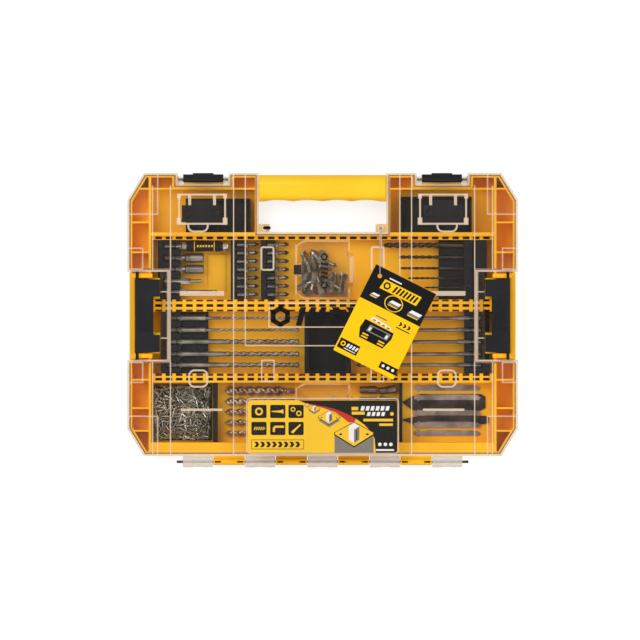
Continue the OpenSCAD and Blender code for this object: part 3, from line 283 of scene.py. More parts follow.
def ring(name: str, outline: Sequence[Point], wall: float, z: Span, edge: float = 0.4) -> Piece:
    """Makes a standing wall that follows an outline, by insetting a flat face and extruding its rim.

    Args:
        name: The object's name.
        outline: The wall's outer corners in plan, in millimetres, anticlockwise.
        wall: The wall's thickness.
        z: Lower and upper height.
        edge: The width of the bevel along its edges.

    Returns:
        The new object.
    """
    obj = sheet(name, outline, z[0])
    inner = inset_outline(outline, wall)
    with editing(obj):
        bpy.ops.mesh.select_all(action="SELECT")
        bpy.ops.mesh.inset(thickness=wall * MM, use_even_offset=True, use_boundary=True)
        mesh = bmesh.from_edit_mesh(obj.data)
        for vert in next(f for f in mesh.faces if f.select).verts:
            near = min(inner, key=lambda p: (p[0] * MM - vert.co.x) ** 2 + (p[1] * MM - vert.co.y) ** 2)
            vert.co.x, vert.co.y = near[0] * MM, near[1] * MM
        bmesh.update_edit_mesh(obj.data)
        bpy.ops.mesh.delete(type="ONLY_FACE")
        raise_all(z[1] - z[0])
    return round_edges(outwards(obj), edge)


def inset_outline(outline: Sequence[Point], inset: float) -> list[Point]:
    """Moves every side of an anticlockwise outline inwards.

    Args:
        outline: The corners in plan.
        inset: How far each side moves.

    Returns:
        The new corners, in the same order.
    """
    moved = []
    count = len(outline)
    for i in range(count):
        a, b, c = (Vector(outline[(i + k) % count]) for k in (-1, 0, 1))
        d0, d1 = (b - a).normalized(), (c - b).normalized()
        n0, n1 = Vector((-d0.y, d0.x)), Vector((-d1.y, d1.x))
        shift = (n0 + n1) * (inset / max(1 + n0.dot(n1), 0.1))
        moved.append((b.x + shift.x, b.y + shift.y))
    return moved


def turned(name: str, start: Point3, profile: Sequence[Point], sides: int = 24, turn: float = 0.0) -> Piece:
    """Turns a rod along X as on a lathe: a circle primitive, then one extrusion and scaling a step.

    Args:
        name: The object's name.
        start: The point on the axis that profile distances are counted from, in millimetres.
        profile: Pairs of distance along +X and radius.
        sides: How many sides the rod has.
        turn: Turns the sides about the axis, in degrees.

    Returns:
        The new object.
    """
    deselect()
    at, radius = profile[0]
    bpy.ops.mesh.primitive_circle_add(
        vertices=sides, radius=radius * MM, fill_type="NGON", rotation=(0, math.pi / 2, 0)
    )
    obj = settle(bpy.context.object)
    obj.name = name
    obj.rotation_euler.x = math.radians(turn)
    obj.location = ((start[0] + at) * MM, start[1] * MM, start[2] * MM)
    settle(obj)
    with editing(obj):
        bpy.ops.mesh.select_all(action="SELECT")
        for (x0, r0), (x1, r1) in zip(profile, profile[1:]):
            bpy.ops.mesh.extrude_region_move(TRANSFORM_OT_translate={"value": ((x1 - x0) * MM, 0, 0)})
            if r1 != r0:
                bpy.ops.transform.resize(
                    value=(1, r1 / r0, r1 / r0),
                    center_override=((start[0] + x1) * MM, start[1] * MM, start[2] * MM),
                )
    return outwards(obj)


def fluted(name: str, x: Span, centre: Point, radius: float, turns: float, web: float) -> Piece:
    """Makes a fluted rod along X: a circle pressed in at two places, swept by a Screw modifier.

    Args:
        name: The object's name.
        x: Where the flutes start and end, in millimetres.
        centre: Y and Z of the axis.
        radius: The rod's radius.
        turns: How often the flutes go round.
        web: How thick the core is, as a share of the radius.

    Returns:
        The new object.
    """
    deselect()
    bpy.ops.mesh.primitive_circle_add(vertices=20, radius=radius * MM, fill_type="NOTHING")
    obj = bpy.context.object
    obj.name = name
    for vert in obj.data.vertices:
        angle = math.atan2(vert.co.y, vert.co.x)
        hollow = max(0.0, abs(math.sin(angle)) - LAND) / (1 - LAND)
        vert.co *= 1 - (1 - web) * hollow**0.8
    steps = max(12, int(turns * STEPS_PER_TURN))
    apply_modifier(
        obj, "SCREW", angle=turns * 2 * math.pi, screw_offset=(x[1] - x[0]) * MM, steps=steps, render_steps=steps,
        use_smooth_shade=True, axis="Z",
    )
    obj.rotation_euler = (0, math.pi / 2, 0)
    obj.location = (x[0] * MM, centre[0] * MM, centre[1] * MM)
    settle(obj)
    for end in x:
        with editing(obj):
            pick(obj, lambda at, _n, end=end: abs(at.x - end) < 1e-3, "VERT")
            bpy.ops.mesh.edge_face_add()
    return outwards(obj)


def join(name: str, parts: Sequence[Piece]) -> Piece:
    """Joins several objects into one.

    Args:
        name: The joined object's name.
        parts: The objects; the first one takes in the rest.

    Returns:
        The joined object.
    """
    deselect()
    for part in parts:
        part.select_set(True)
    bpy.context.view_layer.objects.active = parts[0]
    if len(parts) > 1:
        bpy.ops.object.join()
    parts[0].name = name
    return parts[0]


def copies(obj: Piece, places: Sequence[Matrix], keep: bool = False) -> list[Piece]:
    """Copies a shape that was modelled once, each copy with its own mesh.

    Args:
        obj: The shape, which is deleted unless keep is set.
        places: One matrix in metres for each copy.
        keep: Keeps the shape itself as well.

    Returns:
        The copies.
    """
    made = []
    for place in places:
        new = obj.copy()
        new.data = obj.data.copy()
        new.data.transform(place)
        if place.determinant() < 0:
            new.data.flip_normals()
        bpy.context.collection.objects.link(new)
        made.append(new)
    if not keep:
        bpy.data.objects.remove(obj)
    return made


def placed(at: Point3, turn: float = 0.0) -> Matrix:
    """A place in millimetres and a turn about Z in degrees, as a matrix in metres."""
    return Matrix.Translation([v * MM for v in at]) @ Matrix.Rotation(math.radians(turn), 4, "Z")


MIRROR_X = Matrix.Scale(-1, 4, (1, 0, 0))


def both_sides(obj: Piece) -> list[Piece]:
    """The object and its mirror image across the middle of the case."""
    return [obj, *copies(obj, [MIRROR_X], keep=True)]


def rounded(width: float, length: float, radius: float, steps: int = 5) -> list[Point]:
    """Corners of a rectangle with round corners about the origin, anticlockwise.

    Args:
        width: Its size along X.
        length: Its size along Y.
        radius: The corner radius.
        steps: How many sides each corner has.

    Returns:
        The corners in millimetres.
    """
    points = []
    for corner, (sx, sy) in enumerate(((1, 1), (-1, 1), (-1, -1), (1, -1))):
        for i in range(steps + 1):
            angle = math.radians(90 * (corner + i / steps))
            points.append(
                (
                    sx * (width / 2 - radius) + radius * math.cos(angle),
                    sy * (length / 2 - radius) + radius * math.sin(angle),
                )
            )
    return points


def moved(outline: Sequence[Point], at: Point) -> list[Point]:
    """An outline moved to another place."""
    return [(px + at[0], py + at[1]) for px, py in outline]


def limits(node: str) -> tuple[Vector, Vector]:
    """Lowest and highest corner of a CAD node in millimetres."""
    low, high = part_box(node)
    return Vector(low) / MM, Vector(high) / MM


def node_copy(node: str, name: str, edge: float, segments: int = 2, split: bool = False) -> Piece:
    """Copies a CAD node's mesh, merges it into whole faces and rounds its edges.

    Args:
        node: The CAD node.
        name: The new object's name.
        edge: The width of the rounding in millimetres; 0 leaves the edges sharp.
        segments: How many faces the rounding has across.
        split: Cuts faces with many corners into triangles before the rounding.

    Returns:
        The new object.
    """
    source = frame["nodes"][node]
    mesh = source.data.copy()
    mesh.materials.clear()
    obj = bpy.data.objects.new(name, mesh)
    bpy.context.collection.objects.link(obj)
    with editing(obj):
        bpy.ops.mesh.select_all(action="SELECT")
        bpy.ops.mesh.remove_doubles(threshold=2e-6)
        bpy.ops.mesh.dissolve_limited(angle_limit=math.radians(0.6))
        if split:
            bpy.ops.mesh.quads_convert_to_tris(quad_method="BEAUTY", ngon_method="BEAUTY")
    return round_edges(obj, edge, segments) if edge else obj


def dress(
    obj: Piece,
    body: str,
    finishes: "Material | Sequence[Material]",
    replaced: Sequence[str] = (),
    smooth: float = BEND,
) -> Piece:
    """Gives a finished piece its material and its body, and hides the CAD nodes that it stands for.

    Args:
        obj: The piece.
        body: The CAD body that it rides on.
        finishes: One material, or one for each slot that its faces already use.
        replaced: The CAD nodes that it replaces.
        smooth: Edges that turn by less than this are shaded smooth.

    Returns:
        The piece.
    """
    wanted = [finishes] if isinstance(finishes, Material) else list(finishes)
    if len(wanted) == 1 or len(obj.data.materials) != len(wanted):
        indices = [p.material_index for p in obj.data.polygons]
        obj.data.materials.clear()
        for finish in wanted:
            obj.data.materials.append(finish)
        for polygon, index in zip(obj.data.polygons, indices):
            polygon.material_index = min(index, len(wanted) - 1)
    obj.visible_shadow = not all(finish.name.startswith(("clear", "box")) for finish in wanted)
    obj.visible_diffuse = obj.visible_shadow
    activate(obj)
    bpy.ops.object.shade_smooth_by_angle(angle=smooth)
    for polygon in obj.data.polygons:
        if polygon.area > FLAT_AREA * MM**2 and abs(polygon.normal.z) > 0.999:
            polygon.use_smooth = False
    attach(obj, body)
    if replaced:
        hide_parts(*replaced)
    LOG.info("%s: %d faces on %s", obj.name, len(obj.data.polygons), body)
    return obj


def paint(obj: Piece, index: int, test: Test | None = None) -> None:
    """Puts faces on another material slot.

    Args:
        obj: The mesh object.
        index: The slot's number.
        test: Is given each face's middle in millimetres and its normal; None takes every face.
    """
    for polygon in obj.data.polygons:
        if test is None or test(polygon.center / MM, polygon.normal):
            polygon.material_index = index


# ---------------------------------------------------------------- finishes


def linear(red: float, green: float, blue: float) -> Colour:
    """Turns a display colour from 0 to 255 into Blender's linear colour.

    Args:
        red: The red channel.
        green: The green channel.
        blue: The blue channel.

    Returns:
        The linear colour, from 0 to 1.
    """
    def one(value: float) -> float:
        """Turns one channel."""
        share = value / 255
        return share / 12.92 if share <= 0.04045 else ((share + 0.055) / 1.055) ** 2.4

    return one(red), one(green), one(blue)


class Tree:
    """A node tree with short calls that add and link nodes."""

    def __init__(self, tree: bpy.types.NodeTree) -> None:
        """Starts with an existing tree.

        Args:
            tree: The node tree to fill.
        """
        self.tree = tree

    def add(self, kind: str, **values: object) -> bpy.types.Node:
        """Adds a node.

        Args:
            kind: The node's type, without the leading ShaderNode.
            values: Its properties, or values of its inputs where no property has that name. A value
                that is a socket is linked.

        Returns:
            The new node.
        """
        node = self.tree.nodes.new("ShaderNode" + kind)
        for key, value in values.items():
            if hasattr(node, key):
                setattr(node, key, value)
            else:
                self.put(node.inputs[key.replace("_", " ")], value)
        return node

    def put(self, socket: Socket, value: object) -> None:
        """Links a socket to an input, or sets the input's value.

        Args:
            socket: The input.
            value: A socket, or the value to set.
        """
        if isinstance(value, Socket):
            self.tree.links.new(value, socket)
        elif isinstance(value, tuple) and len(value) == 3 and socket.type == "RGBA":
            socket.default_value = (*value, 1)
        else:
            socket.default_value = value

    def blend(self, share: object, low: object, high: object) -> Socket:
        """Mixes two colours and returns the mixed colour's socket.

        Args:
            share: How much there is of the second colour.
            low: The colour at a share of 0.
            high: The colour at a share of 1.

        Returns:
            The mixed colour's socket.
        """
        node = self.add("Mix", data_type="RGBA")
        self.put(node.inputs[0], share)
        self.put(node.inputs[6], low)
        self.put(node.inputs[7], high)
        return node.outputs[2]

    def between(self, value: object, low: float, high: float, a: float = 0, b: float = 1) -> Socket:
        """Maps a value from the range a to b onto the range low to high, and returns the socket.

        Args:
            value: The value to map.
            low: What a becomes.
            high: What b becomes.
            a: Where the value's range starts.
            b: Where it ends.

        Returns:
            The result's socket.
        """
        node = self.add("MapRange")
        for index, item in enumerate((value, a, b, low, high)):
            self.put(node.inputs[index], item)
        return node.outputs[0]

    def maths(self, operation: str, *values: object) -> Socket:
        """Adds a Math node and returns its socket.

        Args:
            operation: What the node does.
            values: Its inputs, as sockets or numbers.

        Returns:
            The result's socket.
        """
        node = self.add("Math", operation=operation)
        for index, item in enumerate(values):
            self.put(node.inputs[index], item)
        return node.outputs[0]


class Effect:
    """A shared surface effect, kept as a node group with named inputs and outputs."""

    _made: dict[str, bpy.types.NodeTree] = {}

    @classmethod
    def start(cls, name: str, inputs: dict[str, float], outputs: Sequence[str]) -> tuple[Tree, object, object]:
        """Starts a group.

        Args:
            name: The group's name.
            inputs: Names and defaults of its float inputs.
            outputs: Names of its float outputs.

        Returns:
            The tree to fill, its input node and its output node.
        """
        group = bpy.data.node_groups.new(name, "ShaderNodeTree")
        group.interface.new_socket("Vector", in_out="INPUT", socket_type="NodeSocketVector")
        for key, value in inputs.items():
            socket = group.interface.new_socket(key, in_out="INPUT", socket_type="NodeSocketFloat")
            socket.default_value = value
        for key in outputs:
            group.interface.new_socket(key, in_out="OUTPUT", socket_type="NodeSocketFloat")
        cls._made[name] = group
        return Tree(group), group.nodes.new("NodeGroupInput"), group.nodes.new("NodeGroupOutput")

    @classmethod
    def grain(cls) -> bpy.types.NodeTree:
        """The fine spark texture of moulded plastic, with slow changes of tone.

        Returns:
            The node group.
        """
        if "moulded_grain" not in cls._made:
            tree, given, out = cls.start(
                "moulded_grain", {"Scale": 900, "Cloud Scale": 14}, ("Height", "Tone")
            )
            fine = tree.add("TexNoise", Vector=given.outputs["Vector"], Scale=given.outputs["Scale"], Detail=3.0)
            slow = tree.add(
                "TexNoise", Vector=given.outputs["Vector"], Scale=given.outputs["Cloud Scale"], Detail=4.0
            )
            tree.put(out.inputs["Height"], fine.outputs[0])
            tree.put(out.inputs["Tone"], tree.between(slow.outputs[0], 0, 1, 0.3, 0.7))
        return cls._made["moulded_grain"]

    @classmethod
    def lines(cls) -> bpy.types.NodeTree:
        """Grinding lines round a rod or along a blade, with darker streaks.

        Returns:
            The node group.
        """
        if "ground_lines" not in cls._made:
            tree, given, out = cls.start(
                "ground_lines", {"Across": 4000, "Along": 60}, ("Height", "Streak")
            )
            scale = tree.add(
                "CombineXYZ", X=given.outputs["Across"], Y=given.outputs["Along"], Z=given.outputs["Along"]
            )
            stretched = tree.add("VectorMath", operation="MULTIPLY")
            tree.put(stretched.inputs[0], given.outputs["Vector"])
            tree.put(stretched.inputs[1], scale.outputs[0])
            fine = tree.add("TexNoise", Vector=stretched.outputs[0], Scale=1.0, Detail=2.0)
            streak = tree.add("TexNoise", Vector=given.outputs["Vector"], Scale=55.0, Detail=5.0)
            tree.put(out.inputs["Height"], fine.outputs[0])
            tree.put(out.inputs["Streak"], tree.between(streak.outputs[0], 0, 1, 0.35, 0.68))
        return cls._made["ground_lines"]

    @classmethod
    def scuffs(cls) -> bpy.types.NodeTree:
        """Thin scratches and rubbed patches of use.

        Returns:
            The node group.
        """
        if "rubbed_scuffs" not in cls._made:
            tree, given, out = cls.start("rubbed_scuffs", {"Scale": 30, "Amount": 0.5}, ("Mask",))
            cells = tree.add("TexVoronoi", feature="DISTANCE_TO_EDGE", Vector=given.outputs["Vector"])
            tree.put(cells.inputs["Scale"], given.outputs["Scale"])
            hair = tree.between(cells.outputs[0], 1, 0, 0.0, 0.012)
            patch = tree.add("TexNoise", Vector=given.outputs["Vector"], Scale=22.0, Detail=6.0)
            worn = tree.between(patch.outputs[0], 0, 1, 0.52, 0.7)
            both = tree.maths("MULTIPLY", hair, worn)
            tree.put(out.inputs["Mask"], tree.maths("MULTIPLY", both, given.outputs["Amount"]))
        return cls._made["rubbed_scuffs"]


class Surface(Tree):
    """A material under construction, with object coordinates and one Principled shader."""

    def __init__(self, name: str) -> None:
        """Starts an empty material.

        Args:
            name: The material's name.
        """
        self.material = bpy.data.materials.new(name)
        self.material.use_nodes = True
        self.material.node_tree.nodes.clear()
        super().__init__(self.material.node_tree)
        self.place = self.add("TexCoord").outputs["Object"]
        self.shader = self.add("BsdfPrincipled")
        self.output = self.add("OutputMaterial")
        self.put(self.output.inputs["Surface"], self.shader.outputs[0])

    def effect(self, group: bpy.types.NodeTree, **values: float) -> bpy.types.Node:
        """Places a shared effect in the material.

        Args:
            group: The node group.
            values: Its inputs, with underscores for spaces.

        Returns:
            The group's node.
        """
        node = self.add("Group", node_tree=group)
        self.put(node.inputs["Vector"], self.place)
        for key, value in values.items():
            self.put(node.inputs[key.replace("_", " ")], value)
        return node

    def set(self, **values: object) -> None:
        """Sets or links inputs of the Principled shader."""
        for key, value in values.items():
            self.put(self.shader.inputs[key.replace("_", " ")], value)

    def bump(self, height: Socket, strength: float, depth: float) -> None:
        """Feeds a height into the shader's normal.

        Args:
            height: The height's socket.
            strength: The bump's strength from 0 to 1.
            depth: The bump's depth in millimetres.
        """
        node = self.add("Bump", Height=height, Strength=strength, Distance=depth * MM)
        self.set(Normal=node.outputs[0])


@dataclass(frozen=True)
class MouldedPlastic:
    """Opaque moulded plastic with a fine grain, slow tone changes and rubbed marks.

    Attributes:
        name: The material's name.
        colour: The main colour.
        shade: The colour of its darker patches.
        scuff: The colour of rubbed marks.
        roughness: Lowest and highest roughness.
        grain: The grain's scale.
        depth: The grain's depth in millimetres.
        wear: How strongly the rubbed marks show.
        gloss: How much light the surface mirrors.
    """

    name: str
    colour: Colour
    shade: Colour
    scuff: Colour
    roughness: Span = (0.34, 0.46)
    grain: float = 1100
    depth: float = 0.03
    wear: float = 0.35
    gloss: float = 0.26

    def build(self) -> Material:
        """Makes the material.

        Returns:
            The material.
        """
        s = Surface(self.name)
        s.set(Specular_IOR_Level=self.gloss)
        grain = s.effect(Effect.grain(), Scale=self.grain)
        scuffs = s.effect(Effect.scuffs(), Amount=self.wear)
        tone = s.blend(grain.outputs["Tone"], linear(*self.shade), linear(*self.colour))
        s.set(
            Base_Color=s.blend(scuffs.outputs["Mask"], tone, linear(*self.scuff)),
            Roughness=s.between(grain.outputs["Tone"], *self.roughness),
        )
        s.bump(grain.outputs["Height"], 0.35, self.depth)
        return s.material


@dataclass(frozen=True)
class GroundSteel:
    """Steel with grinding lines and darker streaks.

    Attributes:
        name: The material's name.
        colour: The bright colour.
        shade: The colour of streaks.
        roughness: Lowest and highest roughness.
        across: The scale of the lines across the rod.
    """

    name: str
    colour: Colour
    shade: Colour
    roughness: Span = (0.24, 0.42)
    across: float = 5200

    def build(self) -> Material:
        """Makes the material.

        Returns:
            The material.
        """
        s = Surface(self.name)
        lines = s.effect(Effect.lines(), Across=self.across)
        s.set(
            Metallic=1.0,
            Base_Color=s.blend(lines.outputs["Streak"], linear(*self.shade), linear(*self.colour)),
            Roughness=s.between(lines.outputs["Height"], *self.roughness, 0.3, 0.7),
        )
        s.bump(lines.outputs["Height"], 0.25, 0.02)
        return s.material


@dataclass(frozen=True)
class ClearPlastic:
    """Clear plastic: it lets most light through, lamps included, and its edges are paler.

    Attributes:
        name: The material's name.
        haze: The share of light that the face itself returns when seen straight on.
        rim: The share that it returns when seen along the face.
        pale: The colour of that share.
        tint: The linear colour of the light that goes through, from 0 to 1.
        roughness: The gloss of the face.
    """

    name: str
    haze: float
    rim: float
    pale: Colour
    tint: Colour
    roughness: float = 0.12

    def build(self) -> Material:
        """Makes the material.

        Returns:
            The material.
        """
        s = Surface(self.name)
        scuffs = s.effect(Effect.scuffs(), Scale=45.0, Amount=0.5)
        grain = s.effect(Effect.grain(), Scale=500.0, Cloud_Scale=9.0)
        pale = linear(*self.pale)
        s.set(
            Base_Color=s.blend(grain.outputs["Tone"], pale, tuple(min(1, c * 1.08) for c in pale)),
            Roughness=s.between(scuffs.outputs["Mask"], self.roughness, 0.5),
        )
        s.bump(grain.outputs["Height"], 0.08, 0.01)
        through = s.add("BsdfTransparent", Color=self.tint)
        facing = s.add("LayerWeight", Blend=0.35).outputs["Facing"]
        steep = s.maths("POWER", facing, 2.5)
        share = s.between(steep, self.haze, self.rim)
        marked = s.maths("ADD", share, s.between(scuffs.outputs["Mask"], 0, 0.1))
        seen = s.add("MixShader", Fac=marked)
        s.put(seen.inputs[1], through.outputs[0])
        s.put(seen.inputs[2], s.shader.outputs[0])
        lit = s.add("BsdfTransparent", Color=self.tint)
        whole = s.add("MixShader", Fac=s.add("LightPath").outputs["Is Shadow Ray"])
        s.put(whole.inputs[1], seen.outputs[0])
        s.put(whole.inputs[2], lit.outputs[0])
        s.put(s.output.inputs["Surface"], whole.outputs[0])
        return s.material


@dataclass(frozen=True)
class PrintedCard:
    """Coated card or ink on card, with a little fibre in it.

    Attributes:
        name: The material's name.
        colour: The ink's colour.
        roughness: The gloss of the coating.
        fibre: How far the tone changes.
        gloss: How much light the coating mirrors.
    """

    name: str
    colour: Colour
    roughness: float = 0.4
    fibre: float = 0.08
    gloss: float = 0.16

    def build(self) -> Material:
        """Makes the material.

        Returns:
            The material.
        """
        s = Surface(self.name)
        grain = s.effect(Effect.grain(), Scale=700.0, Cloud_Scale=40.0)
        colour = linear(*self.colour)
        darker = tuple(c * (1 - self.fibre) for c in colour)
        s.set(
            Base_Color=s.blend(grain.outputs["Tone"], darker, colour),
            Roughness=s.between(grain.outputs["Height"], self.roughness, self.roughness + 0.12),
        )
        s.set(Specular_IOR_Level=self.gloss)
        s.bump(grain.outputs["Height"], 0.15, 0.01)
        return s.material


@dataclass(frozen=True)
class TwistedString:
    """Thin string whose strands show as slanted bands.

    Attributes:
        name: The material's name.
        colour: The colour of the strands.
        shade: The colour between them.
        pitch: Bands in a metre.
    """

    name: str
    colour: Colour
    shade: Colour
    pitch: float = 900

    def build(self) -> Material:
        """Makes the material.

        Returns:
            The material.
        """
        s = Surface(self.name)
        wave = s.add("TexWave", wave_type="BANDS", bands_direction="DIAGONAL", Scale=self.pitch, Distortion=1.5)
        s.put(wave.inputs["Vector"], s.place)
        s.set(
            Base_Color=s.blend(wave.outputs["Fac"], linear(*self.shade), linear(*self.colour)),
            Roughness=s.between(wave.outputs["Fac"], 0.75, 0.9),
        )
        s.bump(wave.outputs["Fac"], 0.5, 0.08)
        return s.material


# Colours are display values from 0 to 255. Only the tint of clear plastic is linear.
PALE = (232, 222, 204)  # what clean clear plastic returns
FINISHES = {
    "tray": MouldedPlastic("tray_yellow", (255, 190, 14), (247, 174, 10), (252, 208, 90), (0.34, 0.46)),
    "deep": MouldedPlastic("tray_pocket", (255, 190, 12), (248, 176, 8), (250, 200, 60), (0.4, 0.54)),
    # brown painted shade for the faces inside the rails' slots and between their teeth, which are the tray's own
    # yellow plastic
    "slot": MouldedPlastic("slot_painted_shade", (126, 54, 20), (98, 36, 12), (140, 70, 30), (0.45, 0.6)),
    "grip": MouldedPlastic("grip_yellow", (255, 206, 30), (252, 196, 20), (255, 225, 120), (0.3, 0.4)),
    "black": MouldedPlastic(
        "rack_black", (32, 32, 35), (25, 25, 28), (80, 80, 82), (0.36, 0.5), 1400, 0.04, 0.35, 0.12
    ),
    "bin": MouldedPlastic("bin_black", (23, 25, 28), (17, 19, 22), (60, 60, 62), (0.4, 0.55), 1400, 0.04, 0.35, 0.1),
    "ear": MouldedPlastic("ear_pale", (250, 206, 104), (244, 192, 84), (252, 226, 160)),
    "latch": MouldedPlastic(
        "latch_black", (36, 37, 38), (28, 28, 31), (76, 76, 78), (0.4, 0.55), 1700, 0.05, 0.25, 0.12
    ),
    "steel": GroundSteel("bright_steel", (150, 144, 140), (102, 97, 94), (0.3, 0.46)),
    "masonry": GroundSteel("masonry_steel", (160, 154, 146), (110, 104, 98), (0.34, 0.52)),
    "carbide": GroundSteel("carbide_tip", (120, 116, 112), (84, 80, 78), (0.4, 0.6)),
    "dark": GroundSteel("dark_steel", (86, 76, 68), (52, 46, 42), (0.3, 0.5)),
    "bronze": GroundSteel("bronze_steel", (204, 188, 180), (140, 120, 112), (0.3, 0.46)),
    "socket": GroundSteel("socket_steel", (168, 148, 140), (112, 96, 90), (0.3, 0.5)),
    "screw": GroundSteel("screw_zinc", (190, 188, 176), (132, 130, 120), (0.28, 0.44)),
    "zinc": GroundSteel("zinc_steel", (196, 192, 184), (132, 128, 122), (0.26, 0.42)),
    "blade": GroundSteel("blade_steel", (176, 160, 156), (120, 106, 104), (0.34, 0.52), 900),
    "clear": ClearPlastic("clear_panel", 0.008, 0.5, PALE, (0.985, 0.98, 0.965)),
    # the walls' sides return a grey-brown share and darken what goes through: painted shade of the dark line along
    # the lid's walls
    "wall": ClearPlastic("clear_wall", 0.03, 0.45, (176, 158, 140), (0.94, 0.91, 0.86)),
    # the walls' top faces are hazy and pale: painted highlight of the light that the lid's edges catch
    "wall_top": ClearPlastic("clear_wall_top", 0.4, 0.6, (240, 212, 182), (0.95, 0.92, 0.87), 0.18),
    "boss": ClearPlastic("clear_boss", 0.14, 0.6, (210, 200, 186), (0.94, 0.92, 0.88)),
    # the edge and rib finishes are hazy and pale: painted highlight of the light that the lid's bevels and ribs catch
    "clear_edge": ClearPlastic("clear_edge", 0.6, 0.82, (226, 208, 178), (0.93, 0.9, 0.84), 0.18),
    "clear_rib": ClearPlastic("clear_rib", 0.44, 0.7, (238, 214, 190), (0.95, 0.93, 0.88), 0.2),
    # a dark ring just inside the walls under the panel: painted shade of the band that the walls darken
    "shade": ClearPlastic("clear_painted_shade", 0.6, 0.7, (140, 104, 92), (0.9, 0.86, 0.82)),
    "box_clear": ClearPlastic("box_clear", 0.01, 0.35, PALE, (0.97, 0.96, 0.94), 0.2),
    # the pale line round a box lid's top: painted highlight of the edge
    "box_edge_highlight": ClearPlastic("box_edge_highlight", 0.58, 0.78, (246, 196, 134), (0.94, 0.9, 0.84), 0.2),
    "knuckle": ClearPlastic("clear_knuckle", 0.4, 0.9, (222, 212, 200), (0.93, 0.91, 0.87), 0.2),
    "card": PrintedCard("card_yellow", (248, 196, 40)),
    "tag": PrintedCard("tag_yellow", (255, 202, 2), 0.32),
    "ink": PrintedCard("ink_black", (15, 13, 13), 0.34, 0.2),
    "white": PrintedCard("ink_white", (238, 236, 230), 0.4),
    "red": PrintedCard("ink_red", (196, 44, 30), 0.4),
    "grey": PrintedCard("ink_grey", (128, 122, 112), 0.4),
    "string": TwistedString("string", (222, 216, 200), (160, 152, 138)),
}


class Finishes:
    """Every finish of the table, built once and kept as an attribute of its own."""

    def __init__(self) -> None:
        """Builds all the materials."""
        for key, finish in FINISHES.items():
            setattr(self, key, finish.build())


# ---------------------------------------------------------------- the case's sizes


@dataclass(frozen=True)
class Case:
    """Sizes that several sub-assemblies share, in millimetres, as in the part's source."""

    half_w: float = 220.0
    tray_h: float = 34.0
    gap: float = 0.3
    lid_z1: float = 66.0
    lid_top: float = 2.4
    lid_wall: float = 2.2
    floor: float = 2.4
    corner_x: float = 18.5
    corner_y: float = 30.5
    y_hinge: float = -160.0
    y_rear: float = -152.8
    y_lower: float = -138.2
    y_lower_rail: float = -70.6
    y_middle: float = -60.2
    y_middle_rail: float = 10.0
    y_upper: float = 23.6
    y_upper_rail: float = 91.2
    y_gap: float = 99.6
    y_front: float = 166.3
    half_in: float = 193.8
    gap_half: float = 72.0
    latch_x: float = 134.8
    recess_w: float = 57.4
    recess_l: float = 12.3
    side_y: float = 5.2
    notch_half: float = 49.6
    x_notch: float = 175.4
    x_notch_out: float = 183.2
    z_notch: float = 46.0

    @property
    def lid_z0(self) -> float:
        """Height of the lid's lower edge."""
        return self.tray_h + self.gap

    @property
    def lid_under(self) -> float:
        """Height of the underside of the lid's top panel."""
        return self.lid_z1 - self.lid_top

    @property
    def deck(self) -> float:
        """Height at which what stands on the tray's floor begins."""
        return self.floor + self.gap

    @property
    def axis_z(self) -> float:
        """Height of the axes of bits and drills."""
        return self.deck + 14.6

    def lid_plan(self, notch_x: float) -> list[Point]:
        """Outline of the lid in plan, anticlockwise.

        Args:
            notch_x: How far out the lid reaches at the side latches.

        Returns:
            The corners in millimetres.
        """
        y0, y1 = self.side_y - self.notch_half, self.side_y + self.notch_half
        latch0, latch1 = self.latch_x - self.recess_w / 2, self.latch_x + self.recess_w / 2
        half = [
            (self.half_w - self.corner_x, self.y_rear),
            (self.half_w, self.y_rear + self.corner_y),
            (self.half_w, y0),
            (notch_x, y0),
            (notch_x, y1),
            (self.half_w, y1),
            (self.half_w, self.y_front - self.corner_y),
            (self.half_w - self.corner_x, self.y_front),
            (latch1, self.y_front),
            (latch1, self.y_front - self.recess_l),
            (latch0, self.y_front - self.recess_l),
            (latch0, self.y_front),
            (self.gap_half, self.y_front),
            (self.gap_half, self.y_gap),
        ]
        return half + [(-px, py) for px, py in reversed(half)]


CASE = Case()


# ---------------------------------------------------------------- studio

SENSOR = 36.0  # width of the camera's sensor in millimetres
FRAME_PX = 640  # width of the picture that the scale below is counted in


